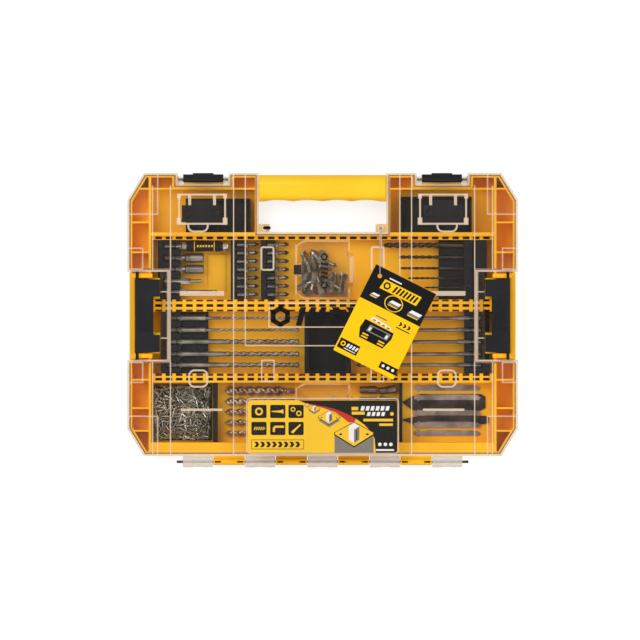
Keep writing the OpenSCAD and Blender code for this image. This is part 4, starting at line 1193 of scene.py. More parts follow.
@dataclass
class Studio:
    """Camera, lamps, floor and world.

    Attributes:
        scale: Millimetres in a pixel of a 640 pixel frame, at the lid's top.
        lens: The camera's focal length.
        aim: Where the frame's middle falls, in millimetres.
        ambient: The strength of the world's light.
        ground: How much light the floor returns.
        glow: How brightly the floor shines to the camera.
    """

    scale: float = 1.127
    lens: float = 420.0
    aim: Point = (-2.9, 0.4)
    ambient: float = 0.5
    ground: float = 0.4
    glow: float = 0.72

    def build(self) -> None:
        """Makes everything round the case."""
        bpy.context.scene.view_settings.view_transform = "Standard"
        self.camera()
        self.lamps()
        self.world()
        self.floor()

    def camera(self) -> None:
        """Adds the camera, straight above the case."""
        data = bpy.data.cameras.new("camera")
        data.lens, data.sensor_width = self.lens, SENSOR
        camera = bpy.data.objects.new("camera", data)
        height = CASE.lid_z1 + FRAME_PX * self.scale * self.lens / SENSOR
        camera.location = (self.aim[0] * MM, self.aim[1] * MM, height * MM)
        data.clip_start, data.clip_end = 0.5, 50
        bpy.context.collection.objects.link(camera)
        bpy.context.scene.camera = camera

    def lamps(self) -> None:
        """Adds three soft boxes."""
        boxes = (
            ("key", (-0.9, 0.7, 1.9), 1.2, 19.5),
            ("fill", (1.3, 0.2, 1.6), 1.4, 10.5),
            ("rear", (0.1, -1.5, 1.5), 1.2, 8),
        )
        for name, at, size, power in boxes:
            data = bpy.data.lights.new(name, "AREA")
            data.size, data.energy = size, power
            lamp = bpy.data.objects.new(name, data)
            lamp.location = at
            lamp.rotation_euler = (-Vector(at)).to_track_quat("-Z", "Y").to_euler()
            bpy.context.collection.objects.link(lamp)

    def world(self) -> None:
        """Sets an even pale world that the camera sees as white."""
        world = bpy.data.worlds.new("world")
        bpy.context.scene.world = world
        world.use_nodes = True
        tree = Tree(world.node_tree)
        world.node_tree.nodes.clear()
        even = tree.add("Background", Color=(1.0, 1.0, 1.0), Strength=self.ambient)
        seen = tree.add("Background", Color=(1.0, 1.0, 1.0), Strength=1.0)
        mixed = tree.add("MixShader", Fac=tree.add("LightPath").outputs["Is Camera Ray"])
        tree.put(mixed.inputs[1], even.outputs[0])
        tree.put(mixed.inputs[2], seen.outputs[0])
        tree.put(tree.add("OutputWorld").inputs["Surface"], mixed.outputs[0])

    def floor(self) -> None:
        """Adds a pale floor that stays white and keeps the case's shadow."""
        deselect()
        bpy.ops.mesh.primitive_plane_add(size=8, location=(0, 0, -0.0002))
        floor = settle(bpy.context.object)
        floor.name = "floor"
        s = Surface("floor_pale")
        s.set(Base_Color=(self.ground,) * 3, Roughness=0.9, Specular_IOR_Level=0.0)
        glow = s.add("Emission", Color=(1.0, 1.0, 1.0), Strength=self.glow)
        path = s.add("LightPath")
        seen = s.maths("MAXIMUM", path.outputs["Is Camera Ray"], path.outputs["Is Glossy Ray"])
        seen = s.maths("MAXIMUM", seen, path.outputs["Is Transmission Ray"])
        none = s.add("Emission", Color=(0.0, 0.0, 0.0), Strength=0.0)
        glowing = s.add("MixShader", Fac=seen)
        s.put(glowing.inputs[1], none.outputs[0])
        s.put(glowing.inputs[2], glow.outputs[0])
        both = s.add("AddShader")
        s.put(both.inputs[0], s.shader.outputs[0])
        s.put(both.inputs[1], glowing.outputs[0])
        s.put(s.output.inputs["Surface"], both.outputs[0])
        floor.data.materials.append(s.material)


# ---------------------------------------------------------------- tray and grip


@dataclass
class Tray:
    """The tray, its grip, rails and hinge barrels.

    Attributes:
        edge: The rounding of its edges.
    """

    finishes: Finishes
    edge: float = 0.45

    def build(self) -> None:
        """Makes the tray's pieces."""
        tray = node_copy("base_tray", "tray", self.edge, split=True)
        paint(tray, 0)
        paint(tray, 1, self.in_pocket)
        paint(tray, 2, self.in_ear)
        finishes = [self.finishes.tray, self.finishes.deep, self.finishes.ear]
        dress(tray, "base", finishes, ["base_tray"])
        grip = node_copy("carry_grip", "grip", 0.7, 3)
        dress(grip, "base", self.finishes.grip, ["carry_grip"], math.radians(40))
        for node in ("rail_upper", "rail_middle", "rail_lower"):
            rail = node_copy(node, node.replace("rail_", "slotted_rail_"), 0.25)
            low, high = limits(node)

            def in_slot(at: Vector, _normal: Vector, low: Vector = low, high: Vector = high) -> bool:
                """Tells whether a face lies inside a slot or between two teeth."""
                return all(low[i] + 0.3 < at[i] < high[i] - 0.3 for i in range(3))

            paint(rail, 0)
            # faces inside a slot or between two teeth get the brown painted shade
            paint(rail, 1, in_slot)
            dress(rail, "base", [self.finishes.tray, self.finishes.slot], [node])
        strip = node_copy("hinge_strip", "hinge_barrels", 0.25)
        dress(strip, "base", self.finishes.tray, ["hinge_strip"])
        self.feet()

    @staticmethod
    def in_pocket(at: Vector, _normal: Vector) -> bool:
        """Tells whether a face lies in one of the deep side pockets or front pockets.

        Args:
            at: The face's middle in millimetres.
            _normal: Its normal, which isn't needed.

        Returns:
            True for a face in a pocket.
        """
        c = CASE
        side = c.half_in + 3.2 < abs(at.x) < c.half_w - 4.8
        front = at.y > c.y_front - 16.2 and abs(at.x) > c.gap_half + 5
        inside = c.y_rear + 5 < at.y < c.y_front - 4.8 and abs(at.x) < c.half_w - 4.8
        return at.z < c.tray_h - 0.8 and at.z > 1 and inside and (side or front)

    @staticmethod
    def in_ear(at: Vector, _normal: Vector) -> bool:
        """Tells whether a face belongs to one of the lower lock ears.

        Args:
            at: The face's middle in millimetres.
            _normal: Its normal, which isn't needed.

        Returns:
            True for a face of an ear.
        """
        c = CASE
        across = c.gap_half - 12.5 < abs(at.x) < c.gap_half + 0.8
        return across and c.y_gap - 0.2 < at.y < c.y_gap + 10 and at.z > c.tray_h - 6

    def feet(self) -> None:
        """Adds stiffening ribs to the tray's outer walls and the blocks beside the front latches."""
        parts = []
        for x in ((163.5, 170.3), (101.0, 106.1)):
            block = box(
                "latch_block", x, (CASE.y_front - 15.4, CASE.y_front - 2.8), (CASE.floor + 0.1, CASE.tray_h - 0.2)
            )
            parts += both_sides(round_edges(block, 0.5))
        for y in (-118.0, -92.0, -66.0, 70.0, 96.0, 122.0):
            rib = box("wall_rib", (CASE.half_w - 2.3, CASE.half_w - 1.2), (y - 1.2, y + 1.2), (4.0, 30.0))
            parts += both_sides(round_edges(rib, 0.4))
        for x in (-150.0, -90.0, 90.0, 150.0):
            rib = box("wall_rib", (x - 1.2, x + 1.2), (CASE.y_rear + 1.2, CASE.y_rear + 2.3), (4.0, 26.0))
            parts.append(round_edges(rib, 0.4))
        dress(join("tray_wall_ribs", parts), "base", self.finishes.tray)


# ---------------------------------------------------------------- clear lid


@dataclass
class Lid:
    """The clear lid with its walls, panel, pads, ribs, knuckles and ears.

    Attributes:
        pad: Height of the raised pads.
        pad_edge: The rounding of their edges.
        rib: Height of the thin ribs.
        rim: The width of the pale line round a pad, a painted highlight of the pad's edge.
    """

    finishes: Finishes
    pad: float = 1.0
    pad_edge: float = 0.35
    rib: float = 0.8
    rim: float = 1.7
    edge_parts: list[Piece] = field(default_factory=list)
    rib_parts: list[Piece] = field(default_factory=list)
    boss_parts: list[Piece] = field(default_factory=list)

    def build(self) -> None:
        """Makes the lid."""
        walls = self.walls()
        panel = self.panel()
        knuckles = self.knuckles()
        self.pads()
        self.ribs()
        self.bosses()
        # a dark ring under the panel just inside the walls: painted shade
        inner = inset_outline(CASE.lid_plan(CASE.x_notch), CASE.lid_wall)
        shade = ring("lid_wall_painted_shade", inner, 1.6, (CASE.lid_under - 0.7, CASE.lid_under - 0.1), 0.15)
        dress(shade, "lid", self.finishes.shade)
        pads = join("lid_pads", self.edge_parts)
        ribs = join("lid_ribs", self.rib_parts)
        bosses = join("lid_bosses", self.boss_parts)
        clear, edge, rib = self.finishes.clear, self.finishes.clear_edge, self.finishes.clear_rib
        dress(walls, "lid", [self.finishes.wall, edge, self.finishes.wall_top], ["lid_shell"])
        dress(panel, "lid", clear)
        dress(knuckles, "lid", self.finishes.knuckle)
        # the pads' rims and all ribs are on the hazy pale rib finish: painted highlight
        dress(pads, "lid", [clear, rib])
        dress(ribs, "lid", rib)
        dress(bosses, "lid", self.finishes.boss)
        pins = node_copy("hinge_pins", "lid_hinge_pins", 0.3)
        dress(pins, "lid", self.finishes.dark, ["hinge_pins"])

    def walls(self) -> Piece:
        """Makes the standing walls, whose edges are on the second slot.

        Returns:
            The joined walls.
        """
        c = CASE
        high = ring("lid_walls_high", c.lid_plan(c.x_notch), c.lid_wall, (c.z_notch - 2.2, c.lid_z1), 0.5)
        low = ring("lid_walls_low", c.lid_plan(c.x_notch_out), c.lid_wall, (c.lid_z0, c.z_notch - 2.2), 0.3)
        y = (c.side_y - c.notch_half, c.side_y + c.notch_half)
        shelf = box("lid_shelf", (c.x_notch - 2.2, c.x_notch_out), y, (c.z_notch - 2.2, c.z_notch))
        shelves = both_sides(round_edges(shelf, 0.3))
        stops = []
        for at in (c.side_y + 27, c.side_y - 25.2):
            stop = box(
                "stop", (c.x_notch - 1, c.x_notch_out - 0.3), (at - 0.8, at + 0.8), (c.z_notch, c.z_notch + 12)
            )
            stops += both_sides(round_edges(stop, 0.3))
        walls = join("lid_walls", [high, low, *shelves, *stops])
        paint(walls, 0)
        for finish in (self.finishes.wall, self.finishes.clear_edge, self.finishes.wall_top):
            walls.data.materials.append(finish)
        # bevels and tops of the walls go on the hazy pale finishes: painted highlight along the lid's edges
        paint(walls, 1, lambda at, n: 0.2 < n.z < 0.95 and at.z > c.lid_z1 - 0.8)
        paint(walls, 2, lambda at, n: n.z > 0.95 and at.z > c.lid_z1 - 0.8)
        paint(walls, 1, lambda at, n: abs(n.z) > 0.35 and at.z < c.z_notch - 1 and abs(at.x) < 0.1)
        paint(walls, 1, lambda at, n: n.z > 0.9 and c.z_notch + 10 < at.z < c.z_notch + 13)
        return walls

    def panel(self) -> Piece:
        """Makes the top panel inside the walls.

        Returns:
            The panel.
        """
        c = CASE
        inner = inset_outline(c.lid_plan(c.x_notch), c.lid_wall - 0.05)
        panel = slab("lid_panel", inner, (c.lid_under, c.lid_z1 - 0.02))
        paint(panel, 0)
        return panel

    def knuckles(self) -> Piece:
        """Makes the hinge knuckles: a turned barrel with a bore and a web each.

        Returns:
            The joined knuckles.
        """
        c = CASE
        barrel = turned(
            "lid_knuckle",
            (-17.0, c.y_hinge, c.tray_h),
            [
                (0, 1.56), (0, 5.6), (0.6, 6.3), (11, 6.3), (11.4, 5.9), (22.6, 5.9), (23, 6.3), (33.4, 6.3),
                (34, 5.6), (34, 1.56), (0, 1.56)
            ],
            36,
        )
        with editing(barrel):
            bpy.ops.mesh.select_all(action="SELECT")
            bpy.ops.mesh.remove_doubles(threshold=TIE)
            pick(
                barrel, lambda at, n: abs(at.y - c.y_hinge) < 0.01 and abs(at.z - c.tray_h) < 0.01 and abs(n.x) > 0.9
            )
            bpy.ops.mesh.delete(type="ONLY_FACE")
            bpy.ops.mesh.select_all(action="SELECT")
            bpy.ops.mesh.normals_make_consistent(inside=False)
        web = box("lid_knuckle_web", (-16.6, 16.6), (c.y_hinge + 2, c.y_rear + 0.4), (c.lid_z0, c.lid_z0 + 6))
        round_edges(web, 0.5)
        one = join("lid_knuckle", [barrel, web])
        places = [Matrix.Translation(((i - 2) * 70.5 * MM, 0, 0)) for i in range(5)]
        return join("lid_knuckles", copies(one, places))

    def raised(self, outline: Sequence[Point]) -> None:
        """Adds a raised pad on the lid's top, and its mirror image.

        Args:
            outline: The pad's corners.
        """
        pad = slab("pad", outline, (CASE.lid_z1 - 0.3, CASE.lid_z1 + self.pad))
        with editing(pad):
            pick(pad, lambda _at, n: n.z > 0.9)
            bpy.ops.mesh.inset(thickness=self.rim * MM, use_even_offset=True)
        pad.data.materials.append(self.finishes.clear)
        pad.data.materials.append(self.finishes.clear_rib)
        # the band round the pad's top and its sides go on the hazy rib finish: painted highlight along the pad's edge
        paint(pad, 1)
        for up in (-1, 1):
            flat = [p for p in pad.data.polygons if p.normal.z * up > 0.9]
            max(flat, key=lambda p: p.area).material_index = 0
        self.edge_parts += both_sides(round_edges(pad, self.pad_edge))

    def line(self, x: Span, y: Span, height: float | None = None, mirrored: bool = True) -> None:
        """Adds a straight rib on the lid's top.

        Args:
            x: Its limits along X.
            y: Its limits along Y.
            height: How far it stands up, or None for the usual height.
            mirrored: Adds its mirror image as well.
        """
        top = CASE.lid_z1 + (self.rib if height is None else height)
        rib = round_edges(box("rib", x, y, (CASE.lid_z1 - 0.3, top)), 0.2)
        self.rib_parts += both_sides(rib) if mirrored else [rib]

    def frame(
        self, at: Point, size: Point, radius: float, width: float, height: float, mirrored: bool = True
    ) -> None:
        """Adds a flat frame with round corners on the lid's top.

        Args:
            at: Its middle.
            size: Its outer size.
            radius: Its corner radius.
            width: The width of its line.
            height: How far it stands up.
            mirrored: Adds its mirror image as well.
        """
        outline = moved(rounded(*size, radius), at)
        shape = ring("frame", outline, width, (CASE.lid_z1 - 0.3, CASE.lid_z1 + height), 0.25)
        self.rib_parts += both_sides(shape) if mirrored else [shape]

    def pads(self) -> None:
        """Adds the pads at the corners and beside the notches."""
        c = CASE
        inner = c.half_w - 35
        y0, y1 = c.side_y - c.notch_half, c.side_y + c.notch_half
        cut_x, cut_y = c.half_w - c.corner_x, c.y_front - c.corner_y
        self.raised(
            [
                (inner, c.y_front - 47.5), (c.half_w, c.y_front - 47.5), (c.half_w, cut_y), (cut_x, c.y_front),
                (inner, c.y_front)
            ]
        )
        self.raised(
            [
                (inner, c.y_rear), (cut_x, c.y_rear), (c.half_w, c.y_rear + c.corner_y), (c.half_w, c.y_rear + 45.6),
                (inner, c.y_rear + 45.6)
            ]
        )
        out = c.half_w - 18.1
        for low, high in ((y1 + 2.1, y1 + 27.4), (y0 - 26.4, y0 - 2.1)):
            self.raised([(out, low), (c.half_w, low), (c.half_w, high), (out, high)])
        self.raised(
            [(c.x_notch - 4.5, y0 - 2.1), (c.x_notch, y0 - 2.1), (c.x_notch, y1 + 2.1), (c.x_notch - 4.5, y1 + 2.1)]
        )
        for low, high in ((y1, y1 + 2.1), (y0 - 2.1, y0)):
            self.raised([(c.x_notch, low), (c.half_w - 20, low), (c.half_w - 20, high), (c.x_notch, high)])

    def ribs(self) -> None:
        """Adds the stacking windows, long ribs, frames and bars."""
        c = CASE
        x0, y_mid = c.latch_x + 1, c.y_front - 41
        self.frame((x0, y_mid), (54, 35), 2, 2.1, self.pad)
        for side in (-1, 1):
            hook = x0 + side * 14
            self.line((hook - 1.7, hook + 1.7), (y_mid + 4.5, y_mid + 16.5), self.pad)
            lug = x0 + side * 26
            self.line((lug - 2.6, lug + 2.6), (y_mid - 17.5, y_mid - 9.5), self.pad)
            self.line((lug - 2.2, lug + 2.2), (y_mid + 12, y_mid + 17.5), self.pad)
        tab = [(px + x0 + 4.6, py + y_mid - 17.5) for px, py in rounded(24, 17.4, 7)]
        shape = ring("tab", tab, 2.1, (c.lid_z1 - 0.3, c.lid_z1 + self.pad), 0.25)
        with editing(shape):
            bpy.ops.mesh.select_all(action="SELECT")
            bpy.ops.mesh.bisect(
                plane_co=(0, (y_mid - 17.0) * MM, 0), plane_no=(0, 1, 0), clear_outer=True, use_fill=True
            )
        self.rib_parts += both_sides(shape)
        y0, y1 = c.side_y - c.notch_half, c.side_y + c.notch_half
        for x in (c.half_w - 28.5, c.half_w - 48.6):
            self.line((x - 0.65, x + 0.65), (y1 + 2.1, c.y_front - c.recess_l - 2))
            self.line((x - 0.65, x + 0.65), (c.y_rear + 2, y0 - 2.1))
        self.line((99.65, 100.95), (c.y_rear + 2, c.y_front - 2))
        self.line((86.45, 87.75), (c.y_middle + 32, c.y_front - 2))
        self.line((-87.1, 87.1), (c.y_middle + 31, c.y_middle + 32.3), self.rib - 0.2, False)
        self.frame((0, c.y_middle + 66), (122, 28), 1, 1.3, self.rib - 0.2, False)
        self.frame((62.1, c.y_upper + 46.1), (15.8, 27.6), 3, 2.1, self.rib - 0.2)
        self.frame((61.7, c.y_lower_rail + 13.8), (15.2, 25.1), 1, 1.3, self.rib)
        self.frame((140, c.y_lower_rail + 5), (22.7, 20.7), 7, 2.1, self.pad)
        self.line((111, 161), (c.y_upper + 4.1, c.y_upper + 9.4), self.pad)
        self.line((113, 159.7), (c.y_lower + 36.1, c.y_lower + 38.8), self.pad)

    def bosses(self) -> None:
        """Adds the bosses of the latch pins, the lock ears and the label's rim under the panel."""
        c = CASE
        y_wall, y_pin, z_pin = c.y_front - c.recess_l, c.y_front - 7.6, c.lid_z1 - 6
        for x in ((c.latch_x - 28.9, c.latch_x - 23.1), (c.latch_x + 23.1, c.latch_x + 28.9)):
            block = box("boss", x, (y_wall - 0.4, y_pin), (z_pin - 4.4, z_pin + 3.6))
            round_edges(block, 0.5)
            barrel = turned(
                "boss_barrel", (x[0], y_pin, z_pin),
                [(0, 2.9), (0.5, 3.4), (x[1] - x[0] - 0.5, 3.4), (x[1] - x[0], 2.9)], 28
            )
            self.boss_parts += both_sides(block) + both_sides(barrel)
        ear = slab(
            "ear",
            [
                (c.gap_half - 12, c.y_gap - 0.5), (c.gap_half + 0.5, c.y_gap - 0.5),
                (c.gap_half + 0.5, c.y_gap + 9.4), (c.gap_half - 8, c.y_gap + 9.4), (c.gap_half - 12, c.y_gap + 6)
            ],
            (c.lid_z0, c.lid_z0 + 3),
        )
        self.boss_parts += both_sides(round_edges(ear, 0.4))
        low, high = limits("label_card")
        middle = (0, (low.y + high.y) / 2)
        outline = moved(rounded(high.x - low.x + 3.4, high.y - low.y + 3.4, 5), (0, middle[1] + 1.0))
        self.rib_parts.append(ring("label_rim", outline, 1.4, (c.lid_under - 2, c.lid_under + 0.1), 0.2))


# ---------------------------------------------------------------- string and swing tag


def circle(radius: float, at: Point = (0.0, 0.0), sides: int = 20, turn: float = 0.0) -> list[Point]:
    """Corners of a regular polygon.

    Args:
        radius: The distance of the corners from the middle.
        at: The middle.
        sides: How many corners it has.
        turn: Its turn in degrees.

    Returns:
        The corners, anticlockwise.
    """
    steps = [math.radians(turn) + 2 * math.pi * i / sides for i in range(sides)]
    return [(at[0] + radius * math.cos(a), at[1] + radius * math.sin(a)) for a in steps]


def rectangle(at: Point, size: Point, slant: float = 0.0) -> list[Point]:
    """Corners of a rectangle, or of a parallelogram whose upper side is moved along X.

    Args:
        at: Its middle.
        size: Its width and height.
        slant: How far the upper side is moved.

    Returns:
        The corners, anticlockwise.
    """
    w, h = size[0] / 2, size[1] / 2
    x, y = at
    return [(x - w, y - h), (x + w, y - h), (x + w + slant, y + h), (x - w + slant, y + h)]


def chevron(at: Point, size: Point, point: float) -> list[Point]:
    """Corners of an arrow-shaped band that points along +X.

    Args:
        at: Its middle.
        size: Its length without the point, and its width.
        point: How far the point stands out.

    Returns:
        The corners.
    """
    w, h = size[0] / 2, size[1] / 2
    x, y = at
    return [(x - w, y - h), (x + w, y - h), (x + w + point, y), (x + w, y + h), (x - w, y + h), (x - w + point, y)]


@dataclass
class Print:
    """Printing on a card or a panel: thin patches of ink, one above the other.

    Attributes:
        name: The finished piece's name.
        z: Height of the surface that is printed on.
        inks: The materials, by name.
        at: Where the design's middle lies.
        turn: The design's turn in degrees.
        film: The thickness of a layer of ink.
    """

    name: str
    z: float
    inks: dict[str, Material]
    at: Point = (0.0, 0.0)
    turn: float = 0.0
    film: float = 0.03
    parts: list[Piece] = field(default_factory=list)

    def lay(self, ink: str, outline: Sequence[Point], level: int = 1) -> None:
        """Adds a patch of ink.

        Args:
            ink: The name of its material.
            outline: Its corners in the design, anticlockwise.
            level: How many layers of ink it stands above the card.
        """
        patch = slab("patch", outline, (self.z - 0.02, self.z + level * self.film))
        for material in self.inks.values():
            patch.data.materials.append(material)
        paint(patch, list(self.inks).index(ink))
        self.parts.append(patch)

    def finish(self) -> Piece:
        """Joins the patches and puts the design in its place.

        Returns:
            The finished print.
        """
        sheet = join(self.name, self.parts)
        sheet.rotation_euler.z = math.radians(self.turn)
        sheet.location = (self.at[0] * MM, self.at[1] * MM, 0)
        return settle(sheet)


@dataclass
class SwingTag:
    """The tag on its string, with the knot that holds the string under the right ear.

    Attributes:
        at: The tag's middle.
        size: Its width and length.
        z: Height of its underside.
        card: Its thickness.
        turn: Its turn in degrees.
        hole: The hole's middle on the tag.
        hole_r: The hole's radius.
        string_r: The string's radius.
        route: Points of the string in metres: X, the distance in front of the grip gap's edge, and
            the height above the lid's top.
    """

    finishes: Finishes
    at: Point = (69.9, -1.8)
    size: Point = (75.5, 108.0)
    z: float = 67.6
    card: float = 0.6
    turn: float = -26.6
    hole: Point = (-28.0, 43.9)
    hole_r: float = 2.6
    string_r: float = 0.4
    steps: int = 2
    route: tuple[Point3, ...] = (
        (0.0649, 0.0046, -0.0319), (0.0649, 0.0046, -0.028), (0.0649, 0.0042, -0.022), (0.0648, 0.003, -0.014),
        (0.0648, 0.0019, -0.007), (0.0648, 0.0012, -0.002), (0.0648, 0.0004, 0.0006), (0.0648, -0.0016, 0.0016),
        (0.0648, -0.006, 0.0017), (0.0648, -0.014, 0.0016), (0.0648, -0.024, 0.0018), (0.0648, -0.032, 0.0022),
        (0.0647, -0.038, 0.003), (0.0647, -0.043, 0.0038), (0.0647, -0.047, 0.0041), (0.0648, -0.0496, 0.0038),
        (0.065, -0.0509, 0.0026), (0.0654, -0.0498, 0.0012), (0.0657, -0.047, 0.00102), (0.066, -0.042, 0.00102),
        (0.0661, -0.036, 0.0011), (0.0662, -0.028, 0.0013), (0.0663, -0.018, 0.0014), (0.0664, -0.008, 0.0016),
        (0.0665, -0.0018, 0.0015), (0.0665, 0.0004, 0.0004), (0.0665, 0.0012, -0.0022), (0.0665, 0.0019, -0.007),
        (0.0665, 0.003, -0.014), (0.0665, 0.0042, -0.022), (0.0665, 0.0046, -0.028), (0.0665, 0.0046, -0.0319),
    )

    def build(self) -> None:
        """Makes the string, the knot and the tag."""
        points = self.string_points()
        string = self.string(points)
        knot = self.knot()
        self.tag()
        self.art()

    def string_points(self) -> list[Vector]:
        """Works out the string's points on a smooth curve through the route.

        Returns:
            The points in metres.
        """
        route = [Vector((x, CASE.y_gap * MM + y, CASE.lid_z1 * MM + z)) for x, y, z in self.route]
        points = []
        for i in range(len(route) - 1):
            a, b, c, d = route[max(i - 1, 0)], route[i], route[i + 1], route[min(i + 2, len(route) - 1)]
            for step in range(self.steps):
                t = step / self.steps
                points.append(
                    0.5 * (2 * b + (c - a) * t + (2 * a - 5 * b + 4 * c - d) * t**2 + (3 * b - a - 3 * c + d) * t**3)
                )
        return points + [route[-1]]

    def string(self, points: Sequence[Vector]) -> Piece:
        """Makes the string as a round curve of one open spline.

        Args:
            points: Its points in metres.

        Returns:
            The string.
        """
        deselect()
        bpy.ops.curve.primitive_nurbs_path_add()
        string = bpy.context.object
        string.name = "tag_string"
        string.data.splines.clear()
        spline = string.data.splines.new("POLY")
        spline.points.add(len(points) - 1)
        for point, place in zip(spline.points, points):
            point.co = (*place, 1)
        string.data.bevel_depth = self.string_r * MM
        string.data.bevel_resolution = 3
        string.data.use_fill_caps = True
        string.data.materials.append(self.finishes.string)
        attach(string, "lid")
        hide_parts("tag_loop")
        return string

    def knot(self) -> Piece:
        """Makes the knot: three turns of string round the ends.

        Returns:
            The knot.
        """
        low, high = limits("loop_knot")
        mid = (low + high) / 2
        parts = []
        for i, tilt in enumerate((-14, 0, 14)):
            deselect()
            bpy.ops.mesh.primitive_torus_add(
                major_segments=24,
                minor_segments=10,
                major_radius=1.65 * MM,
                minor_radius=0.62 * MM,
                location=(mid.x * MM, mid.y * MM, (mid.z + (i - 1) * 0.38) * MM),
                rotation=(math.radians(tilt * 0.4), math.radians(tilt * 0.4), 0),
            )
            parts.append(settle(bpy.context.object))
        core = turned("core", (0, 0, 0), [(-0.9, 0.9), (-0.6, 1.2), (0.6, 1.2), (0.9, 0.9)], 16)
        core.rotation_euler.y = math.pi / 2
        core.location = mid * MM
        parts.append(settle(core))
        knot = join("tag_knot", parts)
        return dress(knot, "lid", self.finishes.string, ["loop_knot"], math.radians(60))

    def tag(self) -> Piece:
        """Makes the card with its hole.

        Returns:
            The card.
        """
        card = node_copy("swing_tag", "tag_card", 0.0)
        return dress(card, "lid", self.finishes.tag, ["swing_tag"])

    def art(self) -> Piece:
        """Prints the tag: a black head with a yellow band, and a stack of cases below.

        Returns:
            The print.
        """
        f = self.finishes
        inks = {"black": f.ink, "yellow": f.tag, "white": f.white, "grey": f.grey, "orange": f.card, "red": f.red}
        page = Print("tag_print", self.z + self.card, inks, self.at, self.turn)
        w, h = self.size[0] / 2 - 0.05, self.size[1] / 2 - 0.05
        hx, hy = self.hole
        r = self.hole_r
        for outline in (
            rectangle((0, (h + hy + r) / 2), (2 * w, h - hy - r)),
            rectangle(((-w + hx - r) / 2, hy), (w + hx - r, 2 * r)),
            rectangle(((w + hx + r) / 2, hy), (w - hx - r, 2 * r)),
            rectangle((0, (12.9 + hy - r) / 2), (2 * w, hy - r - 12.9)),
        ):
            page.lay("black", outline)
        for corner in range(4):
            arc = [
                (hx + r * math.cos(math.radians(90 * corner + a)), hy + r * math.sin(math.radians(90 * corner + a)))
                for a in (90, 67.5, 45, 22.5, 0)
            ]
            sx, sy = (1, -1, -1, 1)[corner], (1, 1, -1, -1)[corner]
            page.lay("black", [(hx + sx * r, hy + sy * r), *arc])
        self.band(page)
        self.row(page)
        self.picture(page)
        self.boxes(page)
        art = page.finish()
        return dress(art, "lid", list(inks.values()))

    def band(self, page: Print) -> None:
        """Prints a yellow band of slanted bars and a hexagon.

        Args:
            page: The print.
        """
        y = 37.6
        page.lay("yellow", rectangle((0.5, y), (46, 11.6), 1.6), 2)
        page.lay("black", circle(4.6, (-15.6, y), 6), 3)
        page.lay("yellow", circle(2.3, (-15.6, y), 20), 4)
        for i in range(7):
            page.lay("black", rectangle((-6.6 + i * 4.3, y), (2.4, 8.2), 2.2), 3)
        page.lay("white", rectangle((-9.5, 46.6), (15, 1.5), 0.3), 2)

    def row(self, page: Print) -> None:
        """Prints three small cases, the middle one in a ring.

        Args:
            page: The print.
        """
        for x, scale in ((-24.5, 0.7), (0.0, 1.0), (25.5, 1.1)):
            y = 22.4 if x else 22.8
            if not x:
                ring_out = [(1.18 * px, py + y) for px, py in circle(9.2, (0, 0), 32)]
                ring_in = [(1.16 * px, py + y) for px, py in circle(8.3, (0, 0), 32)]
                page.lay("orange", ring_out, 2)
                page.lay("black", ring_in, 3)
            w, l = 8.2 * scale, 4.2 * scale
            page.lay("grey", rectangle((x, y - 1.2 * scale), (2 * w * 0.8, l), 1.5), 4)
            page.lay("white", rectangle((x + 0.6, y + 1.2 * scale), (2 * w * 0.72, l * 0.8), 2.2), 5)
            page.lay("yellow", rectangle((x, y - 3.6 * scale), (2 * w * 0.7, 1.0), 0.4), 5)

    def picture(self, page: Print) -> None:
        """Prints a clear case that sits on a dark one.

        Args:
            page: The print.
        """
        x, y = -3.4, -12.5
        page.lay(
            "black",
            [
                (x - 19, y - 5), (x - 15, y - 15.5), (x + 14.5, y - 15.5), (x + 19, y - 2), (x + 18.4, y + 5.4),
                (x - 17.5, y + 6)
            ]
        )
        page.lay("grey", rectangle((x + 2, y - 1.4), (26, 8.4), 1.4), 2)
        page.lay("black", rectangle((x + 2.2, y - 1.4), (17, 5.8), 1.0), 3)
        for side in (-1, 1):
            page.lay("white", rectangle((x + 2.2 + side * 10.4, y - 2), (2.6, 4.2), 0.5), 4)
        page.lay("orange", [(x - 14.5, y + 6.2), (x + 17.4, y + 5.4), (x + 15, y + 10.4), (x - 11.5, y + 13.4)], 2)
        page.lay("white", [(x - 12.4, y + 8.3), (x + 14.4, y + 7.2), (x + 13, y + 9.6), (x - 10.6, y + 12)], 3)
        for i in range(4):
            page.lay("red", rectangle((x - 8 + i * 6, y + 9.3 - 0.5 * i), (3.4, 1.6), 0.5), 4)
        page.lay("grey", rectangle((x - 2, y + 15), (14, 1.5), 0.6), 2)
        for side in (-1, 1):
            for i in range(2):
                page.lay("yellow", rectangle((x + side * 10, y - 9.6 - 3.2 * i), (7.5, 1.7), 0.6), 2)
        for i in range(3):
            page.lay("black", chevron((16.5 + 5.2 * i, 5.6), (2.4, 4.6), 1.6), 1)
        page.lay("black", rectangle((22.6, 0.6), (17, 1.2)), 1)

    def boxes(self, page: Print) -> None:
        """Prints the two black boxes at the foot.

        Args:
            page: The print.
        """
        page.lay("black", rectangle((-23.9, -43), (24.2, 11.5)))
        page.lay("yellow", circle(3.2, (-31.0, -42.4), 6), 2)
        page.lay("black", circle(1.5, (-31.0, -42.4), 16), 3)
        for i in range(4):
            page.lay("white", rectangle((-25.6 + i * 3.6, -42.2), (2.2, 4.6), 1.2), 2)
        page.lay("white", rectangle((-21.0, -46.6), (14, 0.9)), 2)
        page.lay("black", rectangle((27.0, -44.9), (21.4, 7.8)))
        for i in range(3):
            page.lay("white", circle(1.9, (20.6 + i * 6, -44.9), 6), 2)


